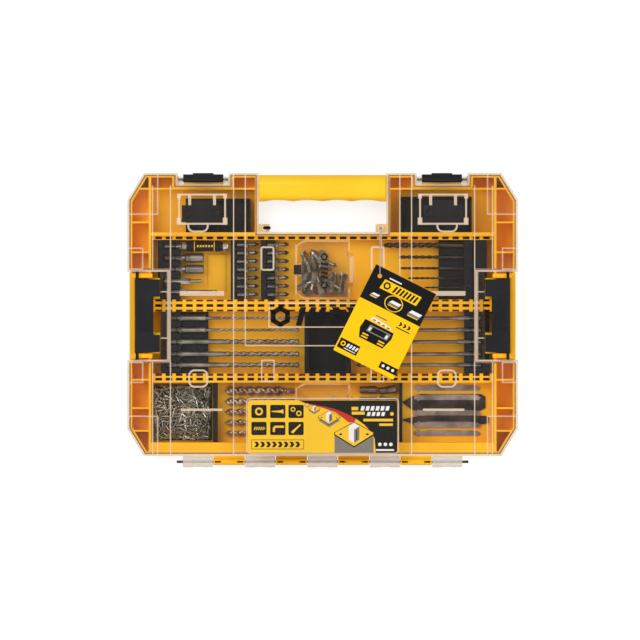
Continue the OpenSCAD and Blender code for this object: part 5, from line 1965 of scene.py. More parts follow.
@dataclass
class LabelCard:
    """The printed card under the lid's front edge.

    Attributes:
        size: Its width and length.
    """

    finishes: Finishes
    size: Point = (169.0, 60.0)

    def build(self) -> None:
        """Makes the card and its print."""
        card = node_copy("label_card", "label_card_sheet", 0.0)
        dress(card, "lid", self.finishes.card, ["label_card"])
        low, high = limits("label_card")
        f = self.finishes
        inks = {"black": f.ink, "yellow": f.card, "white": f.white, "grey": f.grey, "red": f.red}
        page = Print("label_print", high.z, inks, (0, (low.y + high.y) / 2), film=0.02)
        self.icons(page)
        self.banner(page)
        self.corner(page)
        self.cases(page)
        self.panel(page)
        dress(page.finish(), "lid", list(inks.values()))

    def icons(self, page: Print) -> None:
        """Prints six black squares with small signs of what the case holds.

        Args:
            page: The print.
        """
        columns, rows = (-71.7, -50.5, -29.9), (17.3, -1.9)
        for x in columns:
            for y in rows:
                page.lay("black", moved(rounded(17.2, 14.9, 1.6, 3), (x, y)))
        x, y = columns[0], rows[0]
        page.lay("yellow", circle(4.5, (x, y), 24), 2)
        page.lay("black", circle(2.7, (x, y), 6), 3)
        x = columns[1]
        page.lay(
            "yellow",
            [
                (x - 7, y - 0.5), (x + 3, y - 1.3), (x + 6.4, y - 2.7), (x + 6.4, y + 2.7), (x + 3, y + 1.3),
                (x - 7, y + 0.5)
            ],
            2
        )
        x = columns[2]
        for dx, dy, r in ((-3.4, 2.4, 3.0), (3.2, -2.2, 3.4)):
            page.lay("yellow", circle(r, (x + dx, y + dy), 6, 15), 2)
            page.lay("black", circle(0.5 * r, (x + dx, y + dy), 16), 3)
        x, y = columns[0], rows[1]
        for i in range(5):
            page.lay("yellow", rectangle((x - 5.2 + 2.4 * i, y), (1.3, 3.6), 0.9), 2)
        page.lay("yellow", rectangle((x + 5.4, y), (3.2, 1.4)), 2)
        x = columns[1]
        page.lay(
            "yellow",
            [
                (x - 5.6, y - 4), (x - 3.2, y - 4), (x - 3.2, y - 0.4), (x - 2, y + 0.8), (x + 7, y + 0.8),
                (x + 7, y + 3.2), (x - 3.2, y + 3.2), (x - 5.6, y + 0.8)
            ],
            2
        )
        x = columns[2]
        page.lay(
            "yellow",
            [
                (x - 5.4, y - 4.9), (x - 3, y - 5.4), (x + 1.2, y - 0.4), (x + 5.4, y + 3.6), (x + 4.6, y + 5.2),
                (x - 0.2, y + 0.9), (x - 5.2, y - 3.1)
            ],
            2
        )

    def banner(self, page: Print) -> None:
        """Prints an outlined banner with a row of pointed bands.

        Args:
            page: The print.
        """
        page.lay("black", rectangle((-50.6, -19.9), (59.3, 10.9)))
        page.lay("yellow", rectangle((-50.6, -19.9), (58.1, 9.7)), 2)
        for i in range(8):
            page.lay("black", chevron((-75.3 + i * 6.6, -19.9), (3.6, 6.2), 2.2), 3)

    def corner(self, page: Print) -> None:
        """Prints the black corner with its red edge.

        Args:
            page: The print.
        """
        w, h = self.size[0] / 2 - 0.3, self.size[1] / 2 - 0.3
        edge = [
            (-27, h), (-18, 26.6), (0, 23.2), (14, 20), (26, 15.2), (37.6, 9.2), (47, 2.4), (54, -5), (58.6, -13),
            (60, -h)
        ]
        page.lay(
            "black",
            [
                (60, -h), (w - 3, -h), (w - 1, -h + 1), (w, -h + 3), (w, h - 3), (w - 1, h - 1), (w - 3, h), (-27, h),
                *edge[1:-1]
            ]
        )
        inner = [
            (-26.5, 29.2), (-18, 25.6), (0, 21.4), (14, 16.6), (25, 8.6), (30, 4.6), (36, 5.4), (37.6, 9.2),
            (26, 15.2), (14, 20), (0, 23.2), (-18, 26.6)
        ]
        page.lay("red", inner, 2)

    def case(self, page: Print, at: Point, s: float) -> None:
        """Prints a stack of two parts of a case, seen from a corner.

        Args:
            page: The print.
            at: The middle of its front corner.
            s: Its scale; 1 is the largest.
        """
        x, y = at

        def p(*points: Point) -> list[Point]:
            """Scales and places points."""
            return [(x + s * px, y + s * py) for px, py in points]

        page.lay(
            "grey",
            p(
                (-22, -15), (-22, 6), (0, -8), (22, 6), (22, -15)
            ) if s == 1 else p((-22, 0), (0, -14), (22, 0), (0, 12)),
            4
        )
        page.lay("black", p((-22.4, 5), (0, -9), (22.4, 5), (22.4, 8), (0, 20), (-22.4, 8)), 5)
        page.lay("yellow", p((-21.4, 6), (0, -7.4), (21.4, 6), (21.4, 8), (0, 19), (-21.4, 8)), 6)
        page.lay("white", p((-6, 0), (0, -4), (6, 0), (6, 15), (0, 19.4), (-6, 15)), 7)
        page.lay("grey", p((0, -4), (6, 0), (6, 15), (0, 11)), 8)
        page.lay("black", p((2.4, -1), (3.6, 0), (3.6, 11), (2.4, 10)), 9)
        for side in (-1, 1):
            page.lay(
                "black", p((side * 15 - 1.6, 5), (side * 15 + 1.6, 5), (side * 15 + 1.2, 7), (side * 15 - 1.2, 7)), 7
            )

    def cases(self, page: Print) -> None:
        """Prints a row of cases that grow towards the lower right.

        Args:
            page: The print.
        """
        self.case(page, (35.5, -14.4), 1.0)
        self.case(page, (7.4, 7.2), 0.56)
        self.case(page, (-9.4, 18.4), 0.3)
        self.case(page, (-17.2, 23.6), 0.14)

    def panel(self, page: Print) -> None:
        """Prints the pale bars and hexagons on the black corner.

        Args:
            page: The print.
        """
        page.lay("yellow", rectangle((36.4, 20.6), (7.6, 3.8)), 2)
        page.lay("yellow", rectangle((40.2, 15.4), (14.6, 3.4)), 2)
        for i in range(6):
            page.lay("white", rectangle((44.6 + i * 5.6, 20.8), (3.8, 5), 1.2), 2)
        for i in range(4):
            page.lay("white", rectangle((51.6 + i * 5.4, 14.4), (3.6, 4.4), 1.0), 2)
        page.lay("yellow", circle(2.3, (78.2, 14.6), 6), 2)
        page.lay("yellow", rectangle((62.8, 7.6), (33.4, 3.0)), 2)
        page.lay("yellow", rectangle((71.6, 2.4), (15.4, 2.8)), 2)
        for i in range(3):
            page.lay("white", circle(2.2, (64.6 + i * 6.2, -19.8), 6, 30), 2)
        page.lay("white", rectangle((70.4, -26.2), (20.4, 2.0)), 2)


# ---------------------------------------------------------------- racks and moulded parts


@dataclass(frozen=True)
class Moulding:
    """A moulded part whose shape is the CAD's, with rounded edges.

    Attributes:
        node: The CAD node.
        name: The finished piece's name.
        edge: The width of its rounding.
        body: The body that it rides on.
        slot: The record's material slot; not used.
        finish: The name of its finish.
        rim: The name of the finish of a pale line round its top, a painted highlight of the edge, where it has one.
        rim_w: The width of that line.
        rim_z: The height of the face that has it.
    """

    node: str
    name: str
    edge: float = 0.35
    body: str = "base"
    slot: str = "black_plastic"
    finish: str = "black"
    rim: str = ""
    rim_w: float = 2.2
    rim_z: float = CASE.deck + 23.6

    def build(self, finishes: Finishes) -> Piece:
        """Makes the part.

        Args:
            finishes: All finishes.

        Returns:
            The part.
        """
        part = node_copy(self.node, self.name, self.edge)
        wanted = [getattr(finishes, self.finish)]
        # the band round the top goes on the pale rim finish: painted highlight of the edge
        if self.rim:
            wanted.append(getattr(finishes, self.rim))
            with editing(part):
                pick(part, lambda at, n: n.z > 0.9 and abs(at.z - self.rim_z) < 0.2)
                bpy.ops.mesh.inset(thickness=self.rim_w * MM, use_even_offset=True)
            for polygon in part.data.polygons:
                on_top = polygon.normal.z > 0.3 and polygon.center.z > (self.rim_z - 0.4) * MM
                polygon.material_index = int(on_top and not polygon.select)
        return dress(part, self.body, wanted, [self.node])


MOULDINGS = (
    Moulding("driver_rack", "rack_drivers"),
    Moulding("bit_rack_left", "rack_bits_left"),
    Moulding("bit_rack_right", "rack_bits_right"),
    Moulding("drill_rack", "rack_twist_drills"),
    Moulding("masonry_rack", "rack_masonry"),
    Moulding("long_bit_rack", "rack_long_bits"),
    Moulding("middle_bin", "bin_black", 0.6, finish="bin"),
    Moulding("screw_divider", "divider_screws", 0.5),
    Moulding("saw_divider", "divider_blades", 0.5),
    Moulding("accessory_tray_left", "grip_tray_left", 0.6),
    Moulding("accessory_tray_right", "grip_tray_right", 0.6),
    Moulding("stack_catch_left", "window_catch_left", 0.4, "lid"),
    Moulding("stack_catch_right", "window_catch_right", 0.4, "lid"),
    Moulding("lock_hole_plug", "lock_plug", 0.15, "lid"),
    Moulding("front_latch_left", "latch_front_left", 0.5, "front_latch_left", finish="latch"),
    Moulding("front_latch_right", "latch_front_right", 0.5, "front_latch_right", finish="latch"),
    Moulding("side_latch_left", "latch_side_left", 0.45, "side_latch_left", finish="latch"),
    Moulding("side_latch_right", "latch_side_right", 0.45, "side_latch_right", finish="latch"),
    Moulding("bit_box", "box_bits", 0.3, slot="box_plastic", finish="box_clear"),
    Moulding("parts_box", "box_parts", 0.3, slot="box_plastic", finish="box_clear"),
    Moulding("bit_box_lid", "box_bits_lid", 0.25, "bit_box_lid", "box_plastic", "box_clear", "box_edge_highlight"),
    Moulding("parts_box_lid", "box_parts_lid", 0.25, "parts_box_lid", "box_plastic", "box_clear", "box_edge_highlight"),
    Moulding("bit_box_latch", "box_bits_latch", 0.2, "bit_box_latch", finish="latch"),
    Moulding("parts_box_latch", "box_parts_latch", 0.2, "parts_box_latch", finish="latch"),
    Moulding("latch_pins", "front_latch_pins", 0.2, "lid", "dark_steel", "dark"),
)


# ---------------------------------------------------------------- bits and drills

SHANK_R = 6.2 / math.sqrt(3)  # corner radius of a hexagon shank
WOOD_SHANK_R = 6.35 / math.sqrt(3)  # corner radius of a wood drill's shank
ROD_BEND = math.radians(40)  # rods and flutes are shaded smooth up to this angle


class Tip(Enum):
    """Forms of a driver bit's end."""

    CROSS = "cross"
    STAR = "star"
    SLOT = "slot"


def hexed(name: str, at: Point, profile: Sequence[Point], start: float = 0.0) -> Piece:
    """Turns a rod with six sides.

    Args:
        name: The object's name.
        at: Y and Z of its axis.
        profile: Pairs of distance along +X and radius.
        start: Where the distances are counted from.

    Returns:
        The rod.
    """
    return turned(name, (start, *at), profile, 6, 30)


def shank_end(x: float, bevel: float = 0.6) -> list[Point]:
    """Profile of the bevelled end of a hexagon shank that starts at x."""
    return [(x, SHANK_R - 0.5), (x + bevel, SHANK_R)]


def groove(x: float) -> list[Point]:
    """Profile of the groove in a hexagon shank that starts at x."""
    return [(x, SHANK_R), (x + 0.6, SHANK_R - 0.7), (x + 1.8, SHANK_R - 0.7), (x + 2.4, SHANK_R)]


def pinch(rod: Piece, x: Span, wings: int, at: Point = (0.0, 0.0)) -> None:
    """Presses hollows between the wings of a bit's tip.

    Args:
        rod: The tip.
        x: Where the hollows start and end.
        wings: Half the number of hollows.
        at: Y and Z of its axis.
    """
    y, z = at
    with editing(rod):
        pick(
            rod,
            lambda p, _n: x[0] < p.x < x[1] and abs(math.sin(wings * math.atan2(p.z - z, p.y - y))) > 0.6,
            "VERT",
        )
        bpy.ops.transform.resize(value=(1, 0.52, 0.52), center_override=(0, y * MM, z * MM))


@dataclass(frozen=True)
class DriverBit:
    """A driver bit that points along +X from the origin.

    Attributes:
        tip: The form of its end.
        length: Its length.
    """

    tip: Tip
    length: float = 25.0

    def build(self) -> Piece:
        """Makes the bit.

        Returns:
            The new piece.
        """
        l, r = self.length, SHANK_R
        waist = [(8.0, r), (8.5, r - 0.6), (9.3, r - 0.6), (9.8, r)]
        shank = hexed("bit", (0, 0), [(0, r - 0.6), (0.5, r), *waist, (l - 12.5, r), (l - 11.4, 2.2)])
        end = [(l - 11.6, 2.1), (l - 6.4, 2.0), (l - 4.6, 2.55), (l - 3.6, 2.6), (l - 1.0, 1.5), (l - 0.1, 0.8)]
        neck = turned("neck", (0, 0, 0), end, 16)
        if self.tip is Tip.SLOT:
            with editing(neck):
                pick(neck, lambda at, _n: at.x > l - 4.0, "VERT")
                bpy.ops.transform.resize(value=(1, 1, 0.36), center_override=(0, 0, 0))
        else:
            pinch(neck, (l - 4.0, l), 2 if self.tip is Tip.CROSS else 3)
        return join("bit", [shank, neck])


@dataclass
class BitRows:
    """The two rows of short bits and the loose bits in the box.

    Attributes:
        seed: Where the random turns start.
        count: How many bits a row has.
        pitch: The distance between two of them.
    """

    finishes: Finishes
    seed: int = 7
    count: int = 7
    pitch: float = 9.43

    def build(self) -> None:
        """Makes all short bits."""
        rng = random.Random(self.seed)
        kinds = [DriverBit(tip).build() for tip in Tip]
        for side in ("left", "right"):
            low, high = limits(f"driver_bits_{side}")
            made = []
            y_top = high.y - (high.z - low.z) / 2
            for i in range(self.count):
                at = Vector((low.x, y_top - i * self.pitch, CASE.axis_z)) * MM
                place = Matrix.Translation(at) @ Matrix.Rotation(rng.choice((0, 1)) * math.pi, 4, "X")
                made += copies(kinds[(i // 2) % 2], [place], keep=True)
            row = join(f"bits_{side}", made)
            dress(row, "base", self.finishes.steel, [f"driver_bits_{side}"])
        self.loose(kinds, rng)
        for kind in kinds:
            bpy.data.objects.remove(kind)

    def loose(self, kinds: Sequence[Piece], rng: random.Random) -> None:
        """Lays loose bits in the upper box, in three layers.

        Args:
            kinds: The kinds of bit, modelled at the origin.
            rng: The random numbers.
        """
        low, high = limits("bit_box")
        made = []
        for layer, row, column in ((a, b, c) for a in range(3) for b in range(2) for c in range(6)):
            turn = rng.gauss(90, 24) + rng.choice((0, 180))
            x = low.x + 11.5 + column * 8.2 + rng.uniform(-1.5, 1.5)
            y = (low.y + high.y) / 2 - 3 + (row - 0.5) * 25 + rng.uniform(-2, 2)
            if rng.random() < 0.2 + 0.25 * row:
                continue
            lean = Matrix.Rotation(math.radians(rng.uniform(-4, 4)), 4, "Y")
            place = placed((x, y, low.z + 5.4 + 5.7 * layer), turn) @ lean @ Matrix.Translation((-12.5 * MM, 0, 0))
            made += copies(rng.choice(kinds), [place], keep=True)
        dress(join("bits_loose", made), "base", self.finishes.zinc, ["loose_bits"])


@dataclass
class DriverTools:
    """The bit holder, the nut drivers and the adapters of the upper left rack.

    Attributes:
        drops: How far their axes lie below the rail.
    """

    finishes: Finishes
    drops: tuple[float, ...] = (7.1, 20.5, 33.3, 46.6, 58.9)

    def build(self) -> None:
        """Makes the tools."""
        low, high = limits("driver_rack")
        x0, xs, z = high.x, low.x + 7, CASE.axis_z
        axes = [(high.y + 0.3 - drop, z) for drop in self.drops]
        self.holder(x0, xs, axes[0])
        nuts = []
        for axis, r in zip(axes[1:3], (5.4, 5.2)):
            nuts.append(hexed("nut_shank", axis, [*shank_end(xs), *groove(xs + 11), (x0 + 2, SHANK_R)]))
            collar = [(5.8, r - 0.5), (6.3, r), (8.9, r), (9.2, r - 0.4), (10.2, r - 0.4), (10.5, r)]
            body = [(1.2, 2.9), (1.8, 3.4), (5.2, 3.8), *collar, (25.4, r), (26.2, r - 0.6), (26.2, r - 1.3)]
            nuts.append(turned("nut_body", (x0, *axis), body, 36))
            nuts.append(hexed("nut_hollow", axis, [(26.2, r - 1.28), (26.15, r - 1.5), (18, r - 1.6)], x0))
        dress(join("nut_driver_pair", nuts), "base", self.finishes.steel, ["nut_drivers"])
        self.adapters(x0, xs, axes[3:])

    def holder(self, x0: float, xs: float, axis: Point) -> None:
        """Makes the bit holder: its metal, its sleeve and the sleeve's print.

        Args:
            x0: Where the rack ends.
            xs: Where the shank starts.
            axis: Y and Z of its axis.
        """
        at = (x0, *axis)
        low, high = limits("bit_holder_sleeve")
        e0, e1 = low.x - x0, high.x - x0
        shank = hexed("holder_shank", axis, [*shank_end(xs), *groove(xs + 11), (x0 + 1.4, SHANK_R)])
        collar = turned("holder_collar", at, [(0.9, 3.4), (1.6, 4.8), (2.2, 5.2), (5.4, 5.2), (e0, 4.7)], 32)
        lip = [(e1, 4.9), (e1 + 0.5, 5.4), (e1 + 5.4, 5.4), (e1 + 6.3, 4.9), (e1 + 6.3, 3.5), (e1 + 0.6, 3.4)]
        parts = [shank, collar, turned("holder_mouth", at, lip, 32)]
        dress(join("holder_metal", parts), "base", self.finishes.zinc, ["bit_holder_shank"])
        ridges = [
            [(x + i * 1.5 + step, r) for i in range(3) for step, r in ((0, 5.9), (0.3, 6.4), (1.0, 6.4), (1.3, 5.9))]
            for x in (e0 + 3, e1 - 7.6)
        ]
        profile = [(e0, 4.6), (e0 + 0.7, 5.7), (e0 + 2.4, 5.9), *ridges[0]]
        profile += [(e1 - 8.4, 5.9), *ridges[1], (e1 - 1.2, 5.9), (e1, 5.0)]
        sleeve = turned("holder_sleeve", at, profile, 40)
        dress(sleeve, "base", self.finishes.black, ["bit_holder_sleeve"])
        marks = []
        for x in (e0 + 8.6, e1 - 9.8):
            mark = [(x, 5.86), (x + 0.02, 5.93), (x + 0.8, 5.93), (x + 0.82, 5.86)]
            marks.append(turned("ring_mark", at, mark, 40))
        page = Print("sleeve_marks", axis[1] + 5.86, {"yellow": self.finishes.card}, (x0, axis[0]), film=0.05)
        for i in range(6):
            page.lay("yellow", rectangle((e0 + 12.6 + i * 3.2, 0), (1.7, 2.3), 0.5))
        marks.append(page.finish())
        for mark in marks:
            mark.data.materials.clear()
        dress(join("sleeve_print", marks), "base", self.finishes.card)

    def adapters(self, x0: float, xs: float, axes: Sequence[Point]) -> None:
        """Makes the two adapters.

        Args:
            x0: Where the rack ends.
            xs: Where the shanks start.
            axes: Y and Z of their axes.
        """
        reach = limits("shank_adapters")[1].x - x0
        necks = (
            [(11.8, 2.0), (20, 1.9), (20.2, 2.5), (21, 2.6), (25.4, 1.1), (26, 0.7)],
            [(7.8, 2.2), (reach - 5, 2.2), (reach - 4.8, 2.5), (reach - 4, 2.6), (reach - 0.6, 1.1), (reach, 0.8)],
        )
        parts = []
        for axis, end, neck in zip(axes, (x0 + 12, x0 + 8), necks):
            parts.append(hexed("adapter", axis, [*shank_end(xs), (end - 0.6, SHANK_R), (end, SHANK_R - 0.6)]))
            parts.append(turned("adapter_neck", (x0, *axis), neck, 24))
        dress(join("adapter_pair", parts), "base", self.finishes.zinc, ["shank_adapters"])


@dataclass
class TwistDrills:
    """Six fluted drills in the upper right rack.

    Attributes:
        radii: Their radii, from the rail downwards.
        reach: How far their tips stand from the rack.
        drops: How far their axes lie below the rail.
        web: How thick the cores are, as a share of the radius.
    """

    finishes: Finishes
    radii: tuple[float, ...] = (3.1, 2.1, 1.7, 1.4, 1.2, 1.0)
    reach: tuple[float, ...] = (91.4, 74.2, 71.9, 63.3, 44.5, 32.0)
    drops: tuple[float, ...] = (6.0, 19.5, 32.1, 43.4, 54.0, 63.2)
    web: float = 0.62

    def build(self) -> None:
        """Makes the drills."""
        strip, z = CASE.half_in - 33.8, CASE.axis_z
        parts = []
        for r, reach, drop in zip(self.radii, self.reach, self.drops):
            y, tip = CASE.y_upper_rail - drop, strip - reach
            end = strip - 26 + (12 if reach < 40 else 0)
            rod = [(end - 1.5, 0.8 * r), (end, r), (strip + 5.9, r), (strip + 6.3, 0.8 * r)]
            turns = (end - tip - r) / (10.12 * math.sqrt(r))
            parts.append(turned("shank", (0, y, z), rod, 28))
            parts.append(fluted("flutes", (tip + r, end), (y, z), r, turns, self.web))
            point = [(tip, 0.12), (tip + 0.9 * r, 0.86 * r), (tip + 1.1 * r, 0.86 * r)]
            parts.append(turned("point", (0, y, z), point, 16))
        done = join("twist_drill_set", parts)
        dress(done, "base", self.finishes.dark, ["twist_drills"], ROD_BEND)


MIDDLE_DROPS = (7.4, 20.9, 34.2, 48.1, 60.5)  # how far the middle bay's axes lie below its rail


@dataclass
class MasonryDrills:
    """Five masonry drills with hexagon shanks and hard tips.

    Attributes:
        thin: How many of them, from the rail downwards, have a thin fluted part.
        radius: The shank's radius.
        web: How thick the cores are, as a share of the radius.
    """

    finishes: Finishes
    thin: int = 2
    radius: float = 2.9
    web: float = 0.72

    def build(self) -> None:
        """Makes the drills and their tips."""
        low, high = limits("masonry_drills")
        x0, tip, z = low.x, high.x, CASE.axis_z
        parts, tips = [], []
        for i, drop in enumerate(MIDDLE_DROPS):
            y = CASE.y_middle_rail - drop
            r, start, pitch = (0.6 * self.radius, x0 + 58, 13) if i < self.thin else (self.radius, x0 + 64, 18.8)
            hexagon = [*shank_end(x0, 0.7), *groove(x0 + 10), (x0 + 16.6, SHANK_R), (x0 + 17.2, self.radius)]
            rod = [
                (x0 + 16.9, self.radius), (x0 + 43.4, self.radius), (x0 + 44.4, r), (start, r), (start + 1.2, 0.8 * r)
            ]
            head = [(tip - 4.4, 0.7 * r), (tip - 4.0, r + 0.05), (tip - 1.6, r + 0.1), (tip - 0.5, 0.4 * r)]
            parts.append(hexed("hex", (y, z), hexagon))
            parts.append(turned("shank", (0, y, z), rod, 28))
            parts.append(fluted("flutes", (start, tip - 3.4), (y, z), r, (tip - start) / pitch, self.web))
            parts.append(turned("head", (0, y, z), head, 20))
            w = r + 0.3
            outline = [(tip - 4.6, y - w), (tip - 1.5, y - w), (tip, y), (tip - 1.5, y + w), (tip - 4.6, y + w)]
            tips.append(round_edges(slab("plate", outline, (z - 0.6, z + 0.6)), 0.12, 1))
        done = join("masonry_drill_set", parts)
        dress(done, "base", self.finishes.masonry, ["masonry_drills"], ROD_BEND)
        dress(join("masonry_tips", tips), "base", self.finishes.carbide)


@dataclass
class LongBits:
    """Five long driver bits of the middle bay."""

    finishes: Finishes

    def build(self) -> None:
        """Makes the bits."""
        low, high = limits("long_bits")
        x0, x1, xr, z = low.x, high.x, limits("long_bit_rack")[0].x, CASE.axis_z
        parts = []
        for drop in MIDDLE_DROPS:
            y = CASE.y_middle_rail - drop
            hexagon = [*shank_end(xr - 0.4, 1.4), *groove(x1 - 12.4), (x1 - 0.6, SHANK_R), (x1, SHANK_R - 0.5)]
            rod = [(x0 + 5.6, 1.7), (x0 + 6.2, 1.95), (xr - 8.6, 1.95), (xr - 7.8, 2.7), (xr + 0.6, 2.7)]
            head = [(x0, 0.75), (x0 + 1.0, 1.4), (x0 + 3.4, 2.3), (x0 + 4.4, 2.3), (x0 + 5.9, 1.9)]
            parts.append(hexed("hex", (y, z), hexagon))
            parts.append(turned("rod", (0, y, z), rod, 24))
            parts.append(turned("head", (0, y, z), head, 16))
            pinch(parts[-1], (x0 - 1, x0 + 3.8), 2, (y, z))
        dress(join("long_bit_set", parts), "base", self.finishes.steel, ["long_bits"])


@dataclass
class WoodDrills:
    """Five bronze wood drills with hexagon shanks and centre points.

    Attributes:
        radii: Their radii, from the rail downwards.
        drops: How far their axes lie below the rail.
        turns: How often the flutes go round.
        web: How thick the cores are, as a share of the radius.
    """

    finishes: Finishes
    radii: tuple[float, ...] = (5.2, 4.4, 4.0, 3.6, 3.0)
    drops: tuple[float, ...] = (9.2, 21.4, 33.4, 45.4, 57.4)
    turns: float = 3.1
    web: float = 0.52

    def build(self) -> None:
        """Makes the drills."""
        low, high = limits("wood_drills")
        tip, x1, hexa = low.x, high.x, WOOD_SHANK_R
        parts = []
        for r, drop in zip(self.radii, self.drops):
            y, z = CASE.y_lower_rail - drop, CASE.deck + max(r, hexa)
            shank = [(x1 - 9.6, hexa - 0.7), (x1 - 9, hexa), (x1 - 0.7, hexa), (x1, hexa - 0.5)]
            parts.append(hexed("hex", (y, z), shank))
            parts.append(turned("neck", (0, y, z), [(x1 - 13, 0.7 * r), (x1 - 12, 2.2), (x1 - 9.2, 2.2)], 20))
            parts.append(fluted("flutes", (tip + 3, x1 - 12), (y, z), r, self.turns, self.web))
            parts.append(turned("point", (0, y, z), [(tip, 0.1), (tip + 2.6, 0.3 * r), (tip + 3.6, 0.5 * r)], 12))
        done = join("wood_drill_set", parts)
        dress(done, "base", self.finishes.bronze, ["wood_drills"], ROD_BEND)


# ---------------------------------------------------------------- screws, sockets and blades


@dataclass
class ScrewHeap:
    """The heap of small screws behind the divider.

    Attributes:
        length: A screw's length.
        layers: Heights of the layers above the floor.
        tries: How many places are tried in a layer.
        spacing: The least distance between two screws of a layer.
    """

    finishes: Finishes
    length: float = 10.0
    layers: tuple[float, ...] = (4.6, 6.8, 9.0)
    tries: int = 3000
    spacing: float = 3.7
    seed: int = 11

    def screw(self) -> Piece:
        """Makes one screw along X: a countersunk head, a thread of turned ridges and a point.

        Returns:
            The screw.
        """
        l = self.length
        profile = [(-l / 2, 1.7), (-l / 2 + 0.3, 1.8), (-l / 2 + 1.6, 0.75)]
        for i in range(3):
            x = -l / 2 + 2.4 + 1.8 * i
            profile += [(x, 0.75), (x + 0.6, 1.15)]
        profile += [(l / 2, 0.1)]
        return turned("screw", (0, 0, 0), profile, 5)

    def cross(self) -> Piece:
        """Makes the dark cross on a screw's head: painted shade of the cross recess.

        Returns:
            Two small blocks.
        """
        x = -self.length / 2
        bars = [
            box("bar", (x - 0.04, x + 0.2), y, z) for y,
            z in (((-1.1, 1.1), (-0.25, 0.25)), ((-0.25, 0.25), (-1.1, 1.1)))
        ]
        return join("cross", bars)

    def build(self) -> None:
        """Lays the screws."""
        wall = limits("screw_divider")[0].x
        x_span = (-CASE.half_in + 1.2, wall - 0.8)
        y_span = (CASE.y_lower + 1.2, CASE.y_lower_rail - 1.2)
        rng = random.Random(self.seed)
        one, cross = self.screw(), self.cross()
        places = []
        for height in self.layers:
            taken: list[Point] = []
            for _ in range(self.tries):
                turn = rng.uniform(0, 360)
                reach_x = abs(math.cos(math.radians(turn))) * self.length / 2 + 1.6
                reach_y = abs(math.sin(math.radians(turn))) * self.length / 2 + 1.6
                x = rng.uniform(x_span[0] + reach_x, x_span[1] - reach_x)
                y = rng.uniform(y_span[0] + reach_y, y_span[1] - reach_y)
                if any(math.hypot(x - px, y - py) < self.spacing for px, py in taken):
                    continue
                taken.append((x, y))
                z = CASE.deck + height + rng.uniform(-0.3, 0.5)
                lean = math.radians(rng.uniform(-7, 7))
                places.append(
                    placed((x, y, z), turn) @ Matrix.Rotation(lean, 4, "Y") @ Matrix.Rotation(
                        rng.uniform(0, 6.28), 4, "X"
                    )
                )
        LOG.info("%d screws", len(places))
        screws = join("screw_heap", copies(one, places))
        dress(screws, "base", self.finishes.screw, ["screws"])
        # dark blocks at each head: painted shade of the cross recesses
        crosses = join("screw_cross_shades", copies(cross, places))
        dress(crosses, "base", self.finishes.dark)
        # a black slab under the heap so that the gaps between screws read dark: painted shade of the deep heap
        bed = box(
            "screw_shade_bed", (x_span[0] + 1, x_span[1] - 1), (y_span[0] + 1, y_span[1] - 1),
            (CASE.deck + 0.2, CASE.deck + 4)
        )
        dress(round_edges(bed, 1.2), "base", self.finishes.latch)


@dataclass
class Sockets:
    """Small dark sockets between the parts box and the blades.

    Attributes:
        drop: How far the first row lies below the rail.
        pitch: The distance between two rows.
        margin: How far the sockets stay from the parts box.
    """

    finishes: Finishes
    drop: float = 8.0
    pitch: float = 12.0
    margin: float = 10.0

    def build(self) -> None:
        """Makes the sockets."""
        x0 = -limits("parts_box")[0].x + self.margin
        step = (limits("saw_divider")[0].x - 1.9 - x0) / 2
        l = step - 2
        body = turned(
            "socket", (0, 0, 0),
            [
                (-l / 2, 3.3), (-l / 2 + 0.5, 4.0), (-1.6, 4.0), (-1.2, 3.6), (-0.4, 3.6), (0, 4.35),
                (l / 2 - 0.6, 4.35), (l / 2, 3.9), (l / 2, 3.2)
            ],
            28
        )
        hollow = turned("hollow", (0, 0, 0), [(l / 2, 3.25), (l / 2 - 6, 3.1)], 6, 30)
        one = join("socket", [body, hollow])
        places = []
        for i in range(2):
            for j in range(5):
                turn = 8 * math.sin(math.radians(95 * (i + 2 * j)))
                places.append(
                    placed(
                        (
                            x0 + (i + 0.5) * step, CASE.y_lower_rail - 0.3 - self.drop - j * self.pitch,
                            CASE.deck + 4.5
                        ),
                        turn
                    )
                )
        dress(join("socket_set", copies(one, places)), "base", self.finishes.socket, ["small_sockets"])


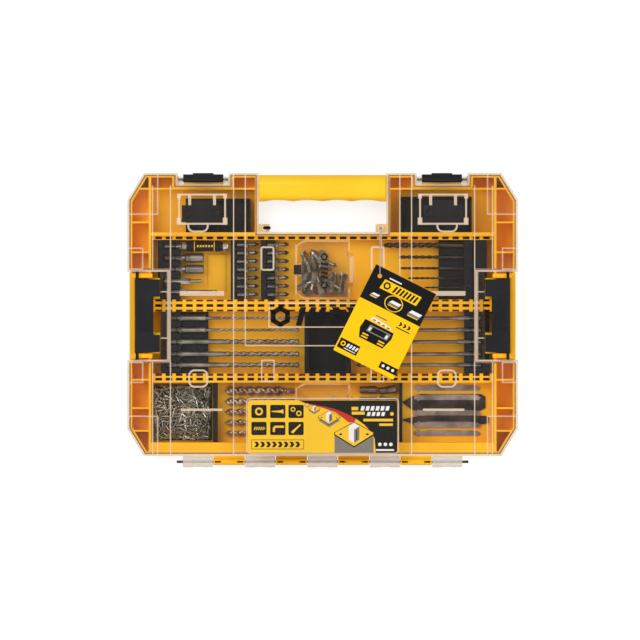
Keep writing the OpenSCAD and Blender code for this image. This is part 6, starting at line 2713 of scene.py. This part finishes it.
@dataclass
class Blades:
    """Jigsaw blades and the two broad blades under them.

    Attributes:
        length: A jigsaw blade's length.
        drops: How far the jigsaw blades lie below the rail.
    """

    finishes: Finishes
    length: float = 76.0
    drops: tuple[float, ...] = (6.3, 16.9, 34.3, 47.8, 57.4)
    teeth: int = 24

    def jigsaw(self, toothing: float) -> Piece:
        """Makes a jigsaw blade that points along +X from its shank.

        Args:
            toothing: The depth of its teeth.

        Returns:
            The blade.
        """
        l = self.length
        outline: list[Point] = [(0, 2.2), (0, -2.2), (3.4, -2.2), (3.4, -3.6), (6.2, -3.6), (6.2, -2.6), (12, -3.2)]
        step = (l - 16) / self.teeth
        for i in range(self.teeth):
            x = 12 + step * (i + 0.5)
            outline += [(x, -3.4 + toothing), (x + step * 0.7, -3.4)]
        outline += [
            (l, -0.4), (l - 4, 2.4), (l - 12, 3.2), (18, 3.6), (12, 2.6), (6.2, 2.6), (6.2, 3.6), (3.4, 3.6),
            (3.4, 2.2)
        ]
        return slab("jigsaw", outline, (0, 1.2))

    def build(self) -> None:
        """Makes the blades."""
        divider = limits("saw_divider")[1].x
        parts = []
        for i, drop in enumerate(self.drops):
            raised = 2.1 if 0 < i < 4 else 0.0
            blade = self.jigsaw(0.9 + 0.2 * (i % 3))
            parts += copies(blade, [placed((divider + 13.5, CASE.y_lower_rail - drop, CASE.deck + raised))])
        dress(join("jigsaw_blade_set", parts), "base", self.finishes.blade, ["jigsaw_blades"])
        x0 = divider + 0.5
        broad = [
            self.broad((x0, x0 + 94), CASE.y_lower_rail - 22.5, 19.0),
            self.broad((x0, x0 + 98), CASE.y_lower_rail - 42.5, 9.4)
        ]
        dress(join("broad_blade_set", broad), "base", self.finishes.dark, ["saw_blades"])

    def broad(self, x: Span, y: float, w: float) -> Piece:
        """Makes a broad blade with a toothed lower edge.

        Args:
            x: Where it starts and ends.
            y: Its middle.
            w: Its width.

        Returns:
            The blade.
        """
        l = x[1] - x[0]
        outline: list[Point] = [(0, 0.6), (0, -0.6), (12, -w / 2)]
        step = (l - 22) / 18
        for i in range(18):
            at = 13 + step * i
            outline += [(at, -w / 2 + 1.1), (at + 0.75 * step, -w / 2)]
        outline += [(l - 6, -w / 2), (l, -w / 3), (l, w / 3), (l - 5, w / 2), (20, w / 2), (10, w / 3)]
        return slab("broad", moved(outline, (x[0], y)), (CASE.deck, CASE.deck + 1.6))


# ---------------------------------------------------------------- prints on the panels


@dataclass
class PanelPrints:
    """Black printing on the lid and on the upper box."""

    finishes: Finishes

    def build(self) -> None:
        """Makes the prints."""
        f = self.finishes
        page = Print("lid_print", CASE.lid_z1 - 0.03, {"black": f.ink}, (0, 4.4), film=0.05)
        self.nut(page, (-47.5, 0), 12.4)
        for i in range(3):
            page.lay("black", rectangle((-27 + i * 11.5, 0), (6.6, 21.0), 5.4))
        page.lay("black", chevron((14, 0), (8, 21.0), 8))
        page.lay("black", chevron((30, 0), (8, 21.0), 8))
        self.nut(page, (50.5, 0), 12.4)
        dress(page.finish(), "lid", f.ink)
        low, high = limits("bit_box_lid")
        top = CASE.deck + 22 + 1.6
        panel = Print("box_print", top - 0.02, {"black": f.ink}, (2.0, (low.y + high.y) / 2), 90, 0.05)
        self.nut(panel, (-17.5, 0), 4.6)
        for i in range(4):
            panel.lay("black", rectangle((-9.4 + i * 5, 0), (2.9, 8.0), 1.6))
        self.nut(panel, (14.5, 0), 4.6)
        dress(panel.finish(), "bit_box_lid", f.ink)

    def nut(self, page: Print, at: Point, r: float) -> None:
        """Prints a hexagon nut as six bars round a hole.

        Args:
            page: The print.
            at: Its middle.
            r: Its corner radius.
        """
        for i in range(6):
            a0, a1 = (math.radians(60 * (i + k) + 30) for k in (0, 1))
            outer = [(at[0] + r * math.cos(a), at[1] + r * math.sin(a)) for a in (a0, a1)]
            inner = [(at[0] + 0.5 * r * math.cos(a), at[1] + 0.5 * r * math.sin(a)) for a in (a1, a0)]
            page.lay("black", [*outer, *inner])


def main() -> None:
    """Builds the case and everything round it, and logs each piece."""
    logging.basicConfig(level=logging.INFO, format="%(name)s: %(message)s")
    deselect()
    finishes = Finishes()
    Studio().build()
    SwingTag(finishes).build()
    Tray(finishes).build()
    Lid(finishes).build()
    LabelCard(finishes).build()
    for moulding in MOULDINGS:
        moulding.build(finishes)
    for part in (
        DriverTools, BitRows, TwistDrills, MasonryDrills, LongBits, WoodDrills, ScrewHeap, Sockets, Blades,
        PanelPrints
    ):
        part(finishes).build()


if __name__ == "__main__":
    main()
